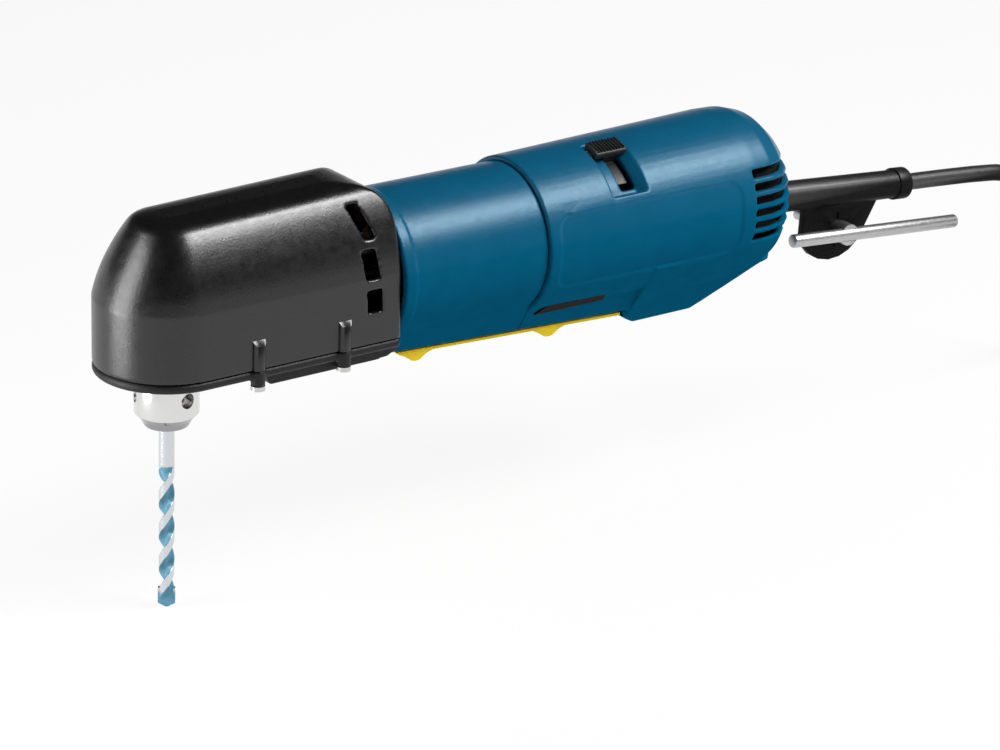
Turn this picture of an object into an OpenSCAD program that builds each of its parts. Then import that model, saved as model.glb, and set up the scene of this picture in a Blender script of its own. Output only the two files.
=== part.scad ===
// Corded right angle drill: a black gear head over a keyed chuck, a blue motor body and a paddle switch.
// Sizes are in millimetres. X runs from the head to the cord, Z up, and the drill bit points down.
// Places are given from the spindle axis and from the underside of the head, then moved to the grip.

/* [Layout] */
// Height of the motor axis above the underside of the head
axis_h = 24.5; // [24:0.5:27]
// Distance from the spindle axis back to the middle of the grip
grip_x = 120; // [100:1:140]
// Distance from the spindle axis back to the rear edge of the head
head_len = 88; // [86:1:100]
// Length of the front blue housing behind the head
front_len = 67.5; // [64:0.5:80]
// Length of the rear blue housing
rear_len = 131; // [129:0.5:145]

/* [Head] */
// Radius of the rounded nose, which is half the width of the head
nose_r = 28; // [27.5:0.5:32]
// Height of the head above its underside
head_h = 63.8; // [63:0.1:70]
// Height of the upright part of the head wall
wall_h = 30; // [28:0.5:34]
// How far the roof is drawn in from the wall
roof_inset = 23; // [16:0.5:23.5]
// Rise of the roof towards the rear, in degrees
roof_tilt = 1.7; // [0:0.1:2]
// How far the roof falls away at the rear edge
roof_back = 21; // [15:0.5:26]
// Thickness of the head cover
cover_wall = 2.6; // [2:0.1:3]
// Thickness of the base plate under the head
base_t = 3.8; // [3:0.1:4.5]
// Radius of the chuck opening in the base plate
base_hole_r = 17; // [16.8:0.1:19]
// Radius of a screw boss on the head
boss_r = 3.3; // [3:0.1:4]
// Height of a screw boss above the underside of the head
boss_top = 15.5; // [12:0.5:20]
// How far a screw boss hangs below the underside of the head
boss_drop = 2.4; // [1.5:0.1:4]
// Thread radius of a head screw
head_screw_r = 1.5; // [1:0.1:1.8]
// Head radius of a head screw
head_screw_head_r = 2.8; // [2.2:0.1:3.2]
// Distance from the spindle axis to the front screw bosses
boss_front_x = 23; // [18:0.5:28]
// Distance from the spindle axis to the rear screw bosses
boss_rear_x = 61.5; // [50:0.5:66]

/* [Gear case] */
// Thickness of the gear case wall
case_wall = 2.4; // [1.8:0.1:3]
// Height of the gear case floor above the underside of the head
case_floor = 16.5; // [16:0.5:18]
// How far the bearing plate stands inside the rear of the head
plate_back = 30; // [26:0.5:31]
// Thickness of the bearing plate
plate_t = 9; // [8:0.5:10]
// Distance from the spindle axis to the bulkhead of the layshaft
bulkhead_x = 21.5; // [20.5:0.5:24]
// Thickness of the bulkhead
bulkhead_t = 6.5; // [6:0.5:8]

/* [Gears] */
// Module of the spur gears
spur_module = 0.7; // [0.65:0.05:0.75]
// Teeth of the motor pinion
pinion_teeth = 10; // [10:1:12]
// Teeth of the spur gear
spur_teeth = 40; // [38:1:42]
// Face width of the spur gear
spur_face = 6; // [4:0.5:8]
// How far the spur gear stands in front of the bearing plate
spur_back = 10; // [8:0.5:13]
// Module of the bevel gears
bevel_module = 1; // [0.9:0.05:1.05]
// Teeth of the bevel pinion
bevel_teeth = 10; // [10:1:12]
// Teeth of the crown gear
crown_teeth = 32; // [30:1:34]
// Face width of the bevel gears
bevel_face = 5.5; // [4:0.5:6]

/* [Spindle and chuck] */
// Radius of the spindle at the crown gear
spindle_r = 5; // [4.5:0.1:6]
// Radius of the spindle in its lower bearing
spindle_low_r = 4; // [3.5:0.1:4.4]
// Radius of the spindle in its upper bearing
spindle_top_r = 3; // [2.5:0.1:3.5]
// Radius of the threaded end of the spindle
thread_r = 4.75; // [4:0.05:5]
// Radius of the chuck body
chuck_r = 12.4; // [12.2:0.1:13]
// Radius of the face at the lower end of the chuck
nose_end_r = 8.6; // [8:0.1:9.5]
// How far the round wall of the chuck reaches below the head
chuck_drop = 17; // [15:0.5:20]
// Length of the bevelled lower end of the chuck
chuck_bevel = 5.3; // [4:0.1:6.5]
// Outer radius of the toothed sleeve
sleeve_r = 16.2; // [15.8:0.1:16.6]
// Height of the toothed sleeve
sleeve_h = 12.5; // [11:0.5:13]
// Teeth on the sleeve for the key
sleeve_teeth = 30; // [24:2:36]
// Radius of the bore that takes the drill bit
chuck_bore_r = 5.2; // [5.1:0.1:5.5]
// Diameter of a key hole
key_hole_d = 6; // [5:0.1:6.4]
// How far a key hole lies below the head
key_hole_drop = 9.7; // [8.5:0.1:11]
// Radius of a jaw
jaw_r = 2.6; // [2.3:0.1:2.7]
// Tilt of the jaws from the spindle axis, in degrees
jaw_tilt = 10; // [9:0.5:10.5]

/* [Drill bit] */
// Diameter of the drill bit
bit_d = 6; // [4:0.1:8]
// Length of the drill bit
bit_len = 100; // [80:1:120]
// Length of the fluted end
flute_len = 60; // [40:1:70]
// Width across the carbide tip
tip_w = 6.6; // [6:0.1:9]

/* [Motor] */
// Radius of the armature shaft
shaft_r = 4; // [3.5:0.1:4.5]
// Radius of the shaft in its bearings
journal_r = 3; // [2.5:0.1:3.4]
// Distance from the rear of the head to the far end of the motor core
core_back = 58; // [56:0.5:62]
// Length of the iron of the motor
core_len = 42; // [36:0.5:42]
// Radius of the armature iron
core_r = 16.5; // [15:0.1:17.5]
// Air gap between the armature and the field
air_gap = 0.5; // [0.4:0.05:1]
// Radius of the commutator
commutator_r = 10.5; // [9:0.1:11]
// Length of the commutator
commutator_len = 18; // [17:0.5:18]
// Radius of the fan
fan_r = 19.5; // [16:0.1:20]
// Length of the fan
fan_len = 13; // [8:0.5:14]
// Blades of the fan
fan_blades = 14; // [8:1:20]

/* [Blue housings] */
// Outer radius of the front housing
front_r = 29.8; // [29.4:0.1:30]
// Outer radius of the rear housing at the seam
rear_r = 31.7; // [31.6:0.1:32.5]
// Outer radius of the rear housing at its widest
rear_wide_r = 34.2; // [33.5:0.1:35]
// Wall thickness of the blue housings
shell = 2.5; // [2.3:0.1:2.6]
// Half width of the keel that holds the paddle
keel_half = 11.3; // [11:0.1:12.5]
// Depth of the keel under the motor axis at its front
keel_front = 33.6; // [33:0.1:35]
// Depth of the keel under the motor axis at its rear
keel_rear = 38.8; // [38:0.1:40]
// Depth of the belly under the motor axis
belly_drop = 47.5; // [46:0.5:50]
// Number of vent slots on a side
vent_count = 6; // [4:1:6]
// Height of a vent slot
vent_h = 3.2; // [2:0.1:4]
// Distance between vent slots
vent_pitch = 5.2; // [4.8:0.1:5.5]

/* [Paddle and switch] */
// Half width of the paddle
paddle_half = 9; // [8:0.1:9.1]
// How far the paddle shows below the keel
paddle_show = 2.6; // [2:0.1:4]
// Stroke of the paddle at the switch
paddle_stroke = 4; // [3:0.1:4]
// Radius of the paddle pin
pin_r = 1; // [0.8:0.05:1.2]
// Length of the switch body
switch_len = 36; // [30:0.5:38]
// Half width of the switch body
switch_half = 9; // [7:0.5:11]
// Height of the switch body
switch_h = 28; // [26:0.5:29]
// Radius of the switch plunger
plunger_r = 2.5; // [2:0.1:3]

/* [Reversing lever] */
// Angle of the lever from the top, at rest, in degrees
lever_rest = 17; // [15:1:20]
// Swing of the lever, in degrees
lever_swing = 30; // [20:1:32]
// Length of the lever cap along the drill
lever_len = 15; // [12:0.5:16]
// Outer radius of the brush ring
ring_r = 27; // [26.5:0.1:27.2]

/* [Cord and key] */
// Length of the cord sleeve outside the housing
sleeve_len = 79.5; // [60:0.5:85]
// Radius of the cord sleeve where it leaves the housing
cord_sleeve_r = 6.6; // [6:0.1:8]
// Radius of the cord sleeve before its collar
cord_sleeve_end_r = 6; // [5:0.1:6.5]
// Downward tilt of the cord sleeve, in degrees
sleeve_tilt = 4.6; // [3:0.1:6]
// Diameter of the cord
cord_d = 7.2; // [6:0.1:7.4]
// Thickness of the key flap
flap_t = 3; // [2:0.1:4]
// Diameter of the key bar
key_bar_d = 5.7; // [5:0.1:6]
// Length of the key bar
key_bar_len = 91; // [70:1:100]
// Diameter of a plug pin
plug_pin_d = 4.8; // [4:0.1:5]
// Distance between the plug pins
plug_pin_gap = 19; // [18:0.1:20]
// Length of a plug pin
plug_pin_len = 19; // [15:0.5:20]

/* [Hidden] */
$fn = 64;
// Cuts run past a face by this much
over = 1;
// Gap between parts that are only laid beside each other
gap = 0.3;
// Radial gap of a pressed or screwed seat
seat = 0.02;
// Radial gap of a running fit
run = 0.05;
// Thickness of the slices that the head is drawn through
slab = 0.01;
// Facets of a rounded form
form_fn = 40;

// Places along the drill
plate_x = head_len - plate_back;
spur_x = plate_x - spur_back;
core_end_x = head_len + core_back;
core_x = core_end_x - core_len;
seam_x = head_len + front_len;
rear_end = seam_x + rear_len;
wide_share = 0.79;
wide_x = seam_x + wide_share * rear_len;

// Roll of the head from its wall to its roof
roll_t = 0.5;
roll_rise_shares = [0, 0.19, 0.38, 0.56, 0.75, 0.875, 0.97, 1];
roll_inset_shares = [0, 0.08, 0.19, 0.32, 0.49, 0.65, 0.93, 1];
roll_back_shares = [0, 0, 0, 0, 0.1, 0.36, 0.75, 1];

// Vent slots in the rear of the head: places and sizes
head_vent_x_shares = [0.83, 0.81, 0.82];
head_vent_z_shares = [0.697, 0.461, 0.245];
head_vent_w = [5.8, 6.4, 6.8];
head_vent_h = [13, 11.4, 9.3];
head_vent_lean = [7.3, 1.8, 0.5];
head_vent_y = 14;

// Block under the base plate, behind the chuck
block_x = 29;
block_half = 23.5;
block_drop = 5.4;
block_shares = [[0, 0], [0, 0.3], [0.04, 1], [0.83, 0.97], [0.93, 0.88], [1, 0.6], [1, 0]];

// Screws of the head
screw_head_h = 1.8;
screw_sink = 0.6;
screw_side = nose_r - screw_sink;
screw_tip_gap = 2;

// Bearings: outer radius and width
low_bearing_r = 11;
low_bearing_w = 7;
small_bearing_r = 6.5;
small_bearing_w = 5;
motor_bearing_r = 8.5;
motor_bearing_w = 6;
bearing_lip = 1;
bearing_groove = 0.6;
bearing_race = 1.4;

// Gear train
pressure_angle = 25;
addendum_share = 0.85;
dedendum_share = 1.1;
spur_backlash = 0.16;
bevel_backlash = 0.34;
spur_c = spur_module * (pinion_teeth + spur_teeth) / 2;
lay_h = axis_h + spur_c;
lay_r = 3;
bevel_r = bevel_module * bevel_teeth / 2;
crown_r = bevel_module * crown_teeth / 2;
bevel_cone = atan(bevel_teeth / crown_teeth);
cone_len = sqrt(bevel_r * bevel_r + crown_r * crown_r);
crown_back = 4.5;
crown_hub_r = 8;
spur_hub_r = 6;

// Spindle and chuck heights
low_bearing_z = case_floor + bearing_lip;
top_bearing_rise = 5;
top_bearing_z = lay_h + bevel_r + top_bearing_rise;
chuck_top = 14;
thread_z = 4;
bore_top = 2.4;
journal_top = 3;
journal_wall = 11.6;
upper_wall = 11;
collar_r = 6.5;
sleeve_z = 0.4;
sleeve_lip = 2.2;
sleeve_bore_r = 13.6;
sleeve_tooth_h = 1.6;
sleeve_tooth_w = 1.7;
key_hole_depth = 6;
key_hole_angles = [-81, 39, 159];
jaw_angles = [-21, 99, 219];
jaw_foot_r = 4.2;
jaw_sink = 0.8;
jaw_foot_z = chuck_drop + chuck_bevel - jaw_sink;
jaw_len = 24.8;

// Drill bit
bit_drop = 98.2;
bit_lead = 27;
flute_r = 2.1;
flute_off = 2.75;
tip_h = 7;
tip_t = 1.7;
point_h = 1.8;
bit_fn = 16;
bit_slices = 40;

// Motor
winding_r = 14.5;
winding_len = 8.5;
end_gap = 0.1;
commutator_gap = 12;
fan_hub_r = 9;
fan_disc_t = 2;
fan_blade_t = 1.2;
fan_gap = 3;
fan_x = plate_x + plate_t + fan_gap;
field_r = front_r - shell - run;
coil_in_r = 18;
coil_out_r = 25;
coil_span = 100;
bars = 20;
bar_gap_w = 0.4;
bar_gap_d = 1;

// Brush gear and reversing lever
ring_t = 5;
ring_hole_r = 12;
commutator_x = core_end_x + winding_len + commutator_gap;
ring_x = commutator_x + commutator_len + end_gap;
holder_in = 13;
holder_out = 25;
holder_w = 9;
holder_len = 12;
brush_w = 6;
brush_len = 9;
brush_out = 23;
brush_turn = 90;
lever_foot = 4;
lever_rise = 2.6;
lever_thick = 1.6;
recess_depth = 1.2;
recess_margin = 1;
recess_angle = 3;
lever_angle = 14;
lever_stem_angle = 8;
lever_ridges = 7;
lever_ridge_h = 0.5;
slot_gap_angle = 2;
lever_x = ring_x + ring_t;
lever_r = rear_radius(lever_x + lever_len / 2);
stem_in = 2;
stem_short = 5;
stem_x = lever_x + stem_in;
stem_len = lever_len - stem_short;

// Rear bearing bridge in the rear housing
bridge_gap = 1.5;
bridge_x = ring_x + ring_t + lever_len + bridge_gap;
bridge_t = 8.5;
bridge_windows = 6;
bridge_window_r = 4.5;
bridge_window_at = 19;
bridge_sink = 0.8;

// Blue housings
spigot_len = 6;
spigot_wall = 1.7;
keel_top = 12.5;
keel_wide = 26;
channel_half = paddle_half + gap;
dome_x_shares = [0.3, 0.55, 0.75, 0.9, 0.98, 1];
dome_r_shares = [0.99, 0.93, 0.79, 0.62, 0.46, 0.34];
belly_half = 30;
belly_tail = 0.5;
belly_gap = 1.5;
belly_side_shares = [[0, 0], [0, 0.75], [0.03, 0.93], [0.11, 1], [0.5, 1], [0.64, 0.93],
    [0.85, 0.79], [0.96, 0.69], [1, 0.55], [1, 0]];
belly_section_shares = [[1, 0], [1, 0.32], [0.47, 0.8], [0.17, 1]];
belly_plan_shares = [[0, 1], [0.5, 0.96], [0.8, 0.7], [1, 0.3]];
vent_back = 27;
vent_x = rear_end - vent_back;
vent_run = 28;
vent_y = 9.5;
vent_mid = 3;
vent_low = axis_h + vent_mid - (vent_count - 1) / 2 * vent_pitch - vent_h / 2;
panel_depth = 0.6;
panel_low = 15.3;
panel_high = 14.8;
panel_front = 5;
panel_back = 36;
panel_corner = 6;
flange_w = 5;
flange_h = 0.6;
inlay_len = 34;
inlay_h = 4.5;
inlay_t = 1.2;
inlay_slant = 5;
inlay_rise = 9;
inlay_sink = 0.5;
inlay_gap = 0.05;
inlay_at = 4;
inlay_x = seam_x + inlay_at;
housing_screw_angles = [-60, -120];
housing_screw_r = 1.4;
housing_screw_head_r = 2.6;
housing_screw_len = 3.6;
housing_screw_head_h = 1.2;

// Paddle and switch
pin_at = 6;
pin_x = head_len + pin_at;
pin_drop = 32.1;
pin_boss_r = 1.9;
paddle_in = 1.6;
paddle_front = 3;
paddle_lead = 6;
paddle_reach = 53;
paddle_end_x = seam_x + paddle_reach;
belly_x = paddle_end_x + belly_gap;
belly_len = rear_end - belly_tail - belly_x;
arm_half = 4;
arm_t = 3;
arm_gap = 0.6;
bump_h = 3.6;
bump_half = 8;
bump_x_shares = [0.145, 0.694];
bump_run_shares = [-1, -0.6, -0.25, 0, 0.25, 0.6, 1];
bump_rise_shares = [0, 0.35, 0.9, 1, 0.9, 0.35, 0];
switch_gap = 2;
switch_x = bridge_x + bridge_t + switch_gap;
switch_drop = 28.5;
plunger_at = 9;
plunger_x = switch_x + plunger_at;
plunger_well = 12.8;
plunger_gap = 0.1;
plunger_len = 17;
arm_past = 5;
arm_x = plunger_x + arm_past;
rib_t = 3;

// Cord sleeve, flap and key
sleeve_root_z = 15.9;
sleeve_in = 7;
flange_r = 8;
flange_t = 2.5;
collar_len = 6.5;
collar_rise = 0.8;
flap_x = 22.5;
flap_w = 45;
flap_drop = 30;
flap_shares = [[0, 0.04], [0, 1], [0.5, 0.84], [0.76, 0.75], [0.89, 0.66], [0.97, 0.55], [1, 0.42],
    [0.97, 0.29], [0.89, 0.18], [0.76, 0.09], [0.6, 0.05]];
flap_hole_r = 4;
flap_slits = 6;
flap_slit_w = 0.8;
flap_slit_len = 7.5;
key_x = 43.5;
key_drop = 16.7;
key_head_r = 4.6;
key_head_len = 6.2;
key_bar_in = 1.2;
key_head_y = 4;
key_neck_r = 3.8;
key_neck_len = 12;
key_pinion_r = 10.5;
key_pinion_len = 5.5;
key_pinion_end_r = 6.5;
key_cone = atan((key_pinion_r - key_pinion_end_r) / key_pinion_len);
key_pilot_len = 9.5;
key_teeth = 20;
key_tooth_w = 1.5;
key_tooth_d = 1.4;
key_bar_shift = 15;
lead_r = 3.2;
clamp_len = 8;
clamp_half = 10;
clamp_t = 4.5;
clamp_at = 27;
clamp_x = rear_end - clamp_at;
clamp_screw_r = 1.4;
clamp_screw_head_r = 2.6;
clamp_screw_at = 7;
clamp_screw_len = 9;
clamp_screw_head_h = 1.6;
clamp_z = sleeve_root_z + (rear_end - clamp_x - clamp_len / 2) * tan(sleeve_tilt);

// Cord: the surface that it lies on, its free route, its coil and its plug
floor_z = -bit_drop - axis_h;
cord_sides = 10;
cord_route = [[260, 0, -16], [275, 0, -17.2], [290, 0, -18.6], [303, 0, -20.5], [316, 1.5, -26],
    [326.5, 3.5, -36], [333.5, 6, -49.5], [338.5, 9, -64.5], [342, 12, -80], [347, 16, -94], [356, 21, -106],
    [369, 25, -114], [382, 27, -117]];
loop_x = 400;
loop_y = -20;
loop_sides = 6;
loop_rings = 24;
loop_gap = 0.5;
loop_layers = 4;
layer_turns = 2.5;
loop_turns = 8.5;
climb_turns = 0.5;
rise_turns = 0.25;
loop_in_r = 28.9;
loop_pitch = cord_d + loop_gap;
loop_out_r = loop_in_r + layer_turns * loop_pitch;
tie_t = 1;
tie_gap = 0.2;
tie_w = 6;
loop_z = floor_z + tie_t + tie_gap + cord_d / 2;
plug_half_h = 7;
plug_half_w = 16;
plug_len = 34;
plug_neck = 14;
plug_neck_r = 4.6;
pin_step = 0.5;
pin_stand = 0.6;
pin_sunk = 8;
pin_tip = 1.5;
plug_rise = plug_half_h + cord_d / 2 + gap;
cord_start = [rear_end + sleeve_len * cos(sleeve_tilt) - grip_x, 0,
    sleeve_root_z - sleeve_len * sin(sleeve_tilt) - axis_h];
loop_start = [loop_x - cord_d, loop_y + loop_out_r, loop_z];
plug_at = [loop_x - cord_d, loop_y - loop_radius(loop_turns), loop_height(loop_turns)];

// Moves a piece from the spindle's frame to the grip, which is the origin
module at_grip() {
    translate([-grip_x, 0, -axis_h]) children();
}

// Turns a piece drawn up Z to lie along the drill
module along(x, h) {
    translate([x, 0, h]) rotate([0, 90, 0]) children();
}

module rod(r, x, len, h) {
    along(x, h) cylinder(r = r, h = len);
}

module tube(outer, inner, x, len, h) {
    along(x, h) difference() {
        cylinder(r = outer, h = len);
        translate([0, 0, -over]) cylinder(r = inner, h = len + 2 * over);
    }
}

// Turns a piece about the motor axis, from the top towards the near side
module at_clock(angle) {
    translate([0, 0, axis_h]) rotate([angle, 0, 0]) children();
}

// Places both sides of the drill alike
module both_sides() {
    children();
    mirror([0, 1, 0]) children();
}

// Outline of the head seen from above
module head_outline(r, rear) {
    circle(r = r, $fn = form_fn);
    translate([0, -r]) square([rear, 2 * r]);
}

// The loaf form of the head, drawn in all round by a skin
module loaf(skin, floor_z, rear) {
    hull() {
        translate([0, 0, floor_z]) linear_extrude(slab) head_outline(nose_r - skin, rear);
        for (i = [0 : len(roll_rise_shares) - 1]) {
            rise = roll_rise_shares[i] * (head_h - skin - wall_h);
            translate([0, 0, wall_h + rise - roll_t]) rotate([0, -roll_rise_shares[i] * roof_tilt, 0])
                linear_extrude(roll_t) head_outline(nose_r - skin - roll_inset_shares[i] * roof_inset,
                    rear - roll_back_shares[i] * roof_back);
        }
    }
}

// A slice of the drill between two places along it
module slice(x, len) {
    translate([x, -2 * nose_r, -head_h]) cube([len, 4 * nose_r, 3 * head_h]);
}

module head_boss_places() {
    for (x = [boss_front_x, boss_rear_x]) both_sides() translate([x, -screw_side, 0]) children();
}

module head_vents() {
    for (i = [0 : len(head_vent_w) - 1]) both_sides()
        translate([head_vent_x_shares[i] * head_len, -head_vent_y, head_vent_z_shares[i] * head_h])
            rotate([90, 0, 0]) linear_extrude(2 * nose_r) polygon([[0, 0], [head_vent_w[i], 0],
                [head_vent_w[i] - head_vent_lean[i], head_vent_h[i]], [-head_vent_lean[i], head_vent_h[i]]]);
}

module head_cover() {
    color("dimgray") at_grip() difference() {
        union() {
            loaf(0, base_t, head_len);
            head_boss_places() translate([0, 0, base_t]) cylinder(r = boss_r, h = boss_top - base_t);
        }
        difference() {
            loaf(cover_wall, base_t - over, head_len + over);
            head_boss_places() cylinder(r = boss_r, h = boss_top);
        }
        head_vents();
        head_boss_places() cylinder(r = head_screw_r + seat, h = boss_top - screw_tip_gap + seat);
    }
}

module head_base() {
    color("dimgray") at_grip() difference() {
        union() {
            linear_extrude(base_t) head_outline(nose_r, head_len);
            head_boss_places() translate([0, 0, -boss_drop]) cylinder(r = boss_r, h = boss_drop + base_t);
            translate([block_x, block_half, 0]) rotate([90, 0, 0]) linear_extrude(2 * block_half)
                polygon([for (p = block_shares)
                    [p[0] * (head_len - block_x), p[1] > 0 ? -p[1] * block_drop : base_t / 2]]);
        }
        translate([0, 0, -over]) cylinder(r = base_hole_r, h = base_t + 2 * over);
        head_boss_places() translate([0, 0, -boss_drop - over])
            cylinder(r = head_screw_r + seat, h = boss_drop + base_t + 2 * over);
    }
}

module head_screws() {
    color("silver") at_grip() head_boss_places() {
        translate([0, 0, -boss_drop]) cylinder(r = head_screw_r, h = boss_drop + boss_top - screw_tip_gap);
        translate([0, 0, -boss_drop - screw_head_h]) difference() {
            cylinder(r = head_screw_head_r, h = screw_head_h);
            translate([-head_screw_head_r, -screw_head_h / 4, -over])
                cube([2 * head_screw_head_r, screw_head_h / 2, over + screw_head_h / 2]);
        }
    }
}

module gear_case() {
    skin = cover_wall + gap;
    color("lightgray") at_grip() difference() {
        intersection() {
            loaf(skin, case_floor, head_len);
            slice(-nose_r, nose_r + plate_x);
            union() {
                difference() {
                    translate([-nose_r, -nose_r, case_floor]) cube([head_len, 2 * nose_r, head_h]);
                    loaf(skin + case_wall, case_floor + case_wall, head_len);
                }
                cylinder(r = low_bearing_r + case_wall, h = low_bearing_z + low_bearing_w);
                translate([0, 0, top_bearing_z - bearing_lip])
                    cylinder(r = small_bearing_r + case_wall, h = head_h);
                slice(bulkhead_x, bulkhead_t);
            }
        }
        translate([0, 0, low_bearing_z])
            cylinder(r = low_bearing_r + seat, h = low_bearing_w + over);
        cylinder(r = low_bearing_r - bearing_race - over, h = low_bearing_z + over);
        translate([0, 0, top_bearing_z - bearing_lip - over])
            cylinder(r = small_bearing_r + seat, h = bearing_lip + over + small_bearing_w);
        rod(small_bearing_r + seat, bulkhead_x + bearing_lip, bulkhead_t + over, lay_h);
        rod(small_bearing_r - bearing_race, bulkhead_x - over, bulkhead_t, lay_h);
    }
}

module bearing_plate() {
    color("lightgray") at_grip() difference() {
        intersection() {
            loaf(cover_wall + gap, base_t + gap, head_len);
            slice(plate_x, plate_t);
        }
        rod(small_bearing_r + seat, plate_x - over, over + bearing_lip + small_bearing_w, lay_h);
        rod(motor_bearing_r + seat, plate_x - over, over + bearing_lip + motor_bearing_w, axis_h);
        rod(shaft_r + bearing_lip, plate_x, plate_t + over, axis_h);
        head_boss_places() cylinder(r = boss_r + gap, h = boss_top + gap);
    }
}

// A shielded ball bearing drawn up Z
module ball_bearing(outer, inner, w) {
    difference() {
        cylinder(r = outer, h = w);
        translate([0, 0, -over]) cylinder(r = inner + run, h = w + 2 * over);
        for (z = [-over, w - bearing_groove]) translate([0, 0, z]) difference() {
            cylinder(r = outer - bearing_race, h = over + bearing_groove);
            cylinder(r = inner + bearing_race, h = over + bearing_groove);
        }
    }
}

module spindle_lower_bearing() {
    color("silver") at_grip() translate([0, 0, low_bearing_z])
        ball_bearing(low_bearing_r, spindle_low_r, low_bearing_w);
}

module spindle_upper_bearing() {
    color("silver") at_grip() translate([0, 0, top_bearing_z])
        ball_bearing(small_bearing_r, spindle_top_r, small_bearing_w);
}

module layshaft_front_bearing() {
    color("silver") at_grip() along(bulkhead_x + bearing_lip, lay_h)
        ball_bearing(small_bearing_r, lay_r, small_bearing_w);
}

module layshaft_rear_bearing() {
    color("silver") at_grip() along(plate_x + bearing_lip, lay_h)
        ball_bearing(small_bearing_r, lay_r, small_bearing_w);
}

module motor_front_bearing() {
    color("silver") at_grip() along(plate_x + bearing_lip, axis_h)
        ball_bearing(motor_bearing_r, journal_r, motor_bearing_w);
}

module motor_rear_bearing() {
    color("silver") at_grip() along(bridge_x + bearing_lip, axis_h)
        ball_bearing(motor_bearing_r, journal_r, motor_bearing_w);
}

// Involute of an angle, in degrees
function involute(a) = tan(a) * 180 / PI - a;

// Half angle of a tooth at radius rho, for a gear of pitch radius r and a pitch half angle
function tooth_half(r, rho, half) =
    let (base = r * cos(pressure_angle), at = max(rho, base))
        half + involute(pressure_angle) - involute(acos(base / at));

// Heights of the points along a tooth flank, from root to tip, over the module
flank_shares = [-dedendum_share, -0.5, -0.2, 0.1, 0.45, addendum_share];

// Outline of a spur gear with its first tooth on the X axis
function spur_outline(teeth, m, backlash) =
    let (r = teeth * m / 2, half = 90 / teeth - backlash / (2 * r) * 90 / PI, top = len(flank_shares) - 1)
        [for (k = [0 : teeth - 1], i = [0 : 2 * top + 1])
            let (up = i <= top,
                rho = r + m * flank_shares[up ? i : 2 * top + 1 - i],
                a = 360 / teeth * k + (up ? -1 : 1) * tooth_half(r, rho, half))
                rho * [cos(a), sin(a)]];

// Points of a bevel gear on a sphere about the common apex
function bevel_ring(teeth, m, cone, size, backlash) =
    let (r = teeth * m / 2, far = r / sin(cone), virtual = r / cos(cone),
        half = 90 / teeth * cos(cone) - backlash / (2 * virtual) * 90 / PI, top = len(flank_shares) - 1)
        [for (k = [0 : teeth - 1], i = [0 : 2 * top + 1])
            let (up = i <= top,
                h = m * flank_shares[up ? i : 2 * top + 1 - i],
                tilt = cone + h / far * 180 / PI,
                wide = tooth_half(virtual, virtual + h, half) * (virtual + h) / (far * sin(tilt)),
                a = 360 / teeth * k + (up ? -1 : 1) * wide)
                size * [sin(tilt) * cos(a), sin(tilt) * sin(a), cos(tilt)]];

// A bevel gear with its apex at the origin and its body up Z
module bevel_gear(teeth, m, cone, face, backlash, back) {
    far = teeth * m / 2 / sin(cone);
    outer = bevel_ring(teeth, m, cone, far, backlash);
    inner = bevel_ring(teeth, m, cone, far - face, backlash);
    n = len(outer);
    polyhedron(
        points = concat(outer, inner, [[0, 0, far * cos(cone) + back], [0, 0, (far - face) * cos(cone)]]),
        faces = [for (i = [0 : n - 1], part = [0 : 3]) let (j = (i + 1) % n)
            part == 0 ? [i, j, n + j] : part == 1 ? [i, n + j, n + i]
            : part == 2 ? [2 * n, j, i] : [2 * n + 1, n + i, n + j]],
        convexity = 6);
}

module spindle() {
    color("silver") at_grip() {
        translate([0, 0, thread_z]) cylinder(r = thread_r, h = chuck_top - thread_z);
        translate([0, 0, chuck_top]) cylinder(r = collar_r, h = low_bearing_z - chuck_top - gap);
        translate([0, 0, thread_z]) cylinder(r = spindle_low_r, h = low_bearing_z + low_bearing_w - thread_z);
        translate([0, 0, low_bearing_z + low_bearing_w + gap])
            cylinder(r = spindle_r, h = top_bearing_z - low_bearing_z - low_bearing_w - 2 * gap);
        translate([0, 0, low_bearing_z])
            cylinder(r = spindle_top_r, h = top_bearing_z + small_bearing_w - low_bearing_z);
    }
}

module crown_gear() {
    hub_z = low_bearing_z + low_bearing_w + 2 * gap;
    color("gray") at_grip() difference() {
        union() {
            translate([0, 0, lay_h]) rotate([180, 0, 180 / crown_teeth])
                bevel_gear(crown_teeth, bevel_module, 90 - bevel_cone, bevel_face, bevel_backlash,
                    crown_back);
            translate([0, 0, hub_z])
                cylinder(r = crown_hub_r, h = lay_h - bevel_r - hub_z);
        }
        cylinder(r = spindle_r + seat, h = head_h);
    }
}

module layshaft() {
    color("gray") at_grip() along(0, lay_h) {
        bevel_gear(bevel_teeth, bevel_module, bevel_cone, bevel_face, bevel_backlash, slab);
        translate([0, 0, crown_r - bevel_face / 2])
            cylinder(r = lay_r, h = plate_x + bearing_lip + small_bearing_w - gap - crown_r + bevel_face / 2);
        translate([0, 0, crown_r + over])
            cylinder(r = lay_r + bearing_lip, h = bulkhead_x + bearing_lip - gap - crown_r - over);
    }
}

module spur_gear() {
    color("gray") at_grip() along(spur_x, lay_h) difference() {
        union() {
            rotate(180 / spur_teeth) linear_extrude(spur_face)
                polygon(spur_outline(spur_teeth, spur_module, spur_backlash));
            cylinder(r = spur_hub_r, h = plate_x - spur_x - gap);
        }
        translate([0, 0, -over]) cylinder(r = lay_r + seat, h = plate_x);
    }
}

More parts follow.
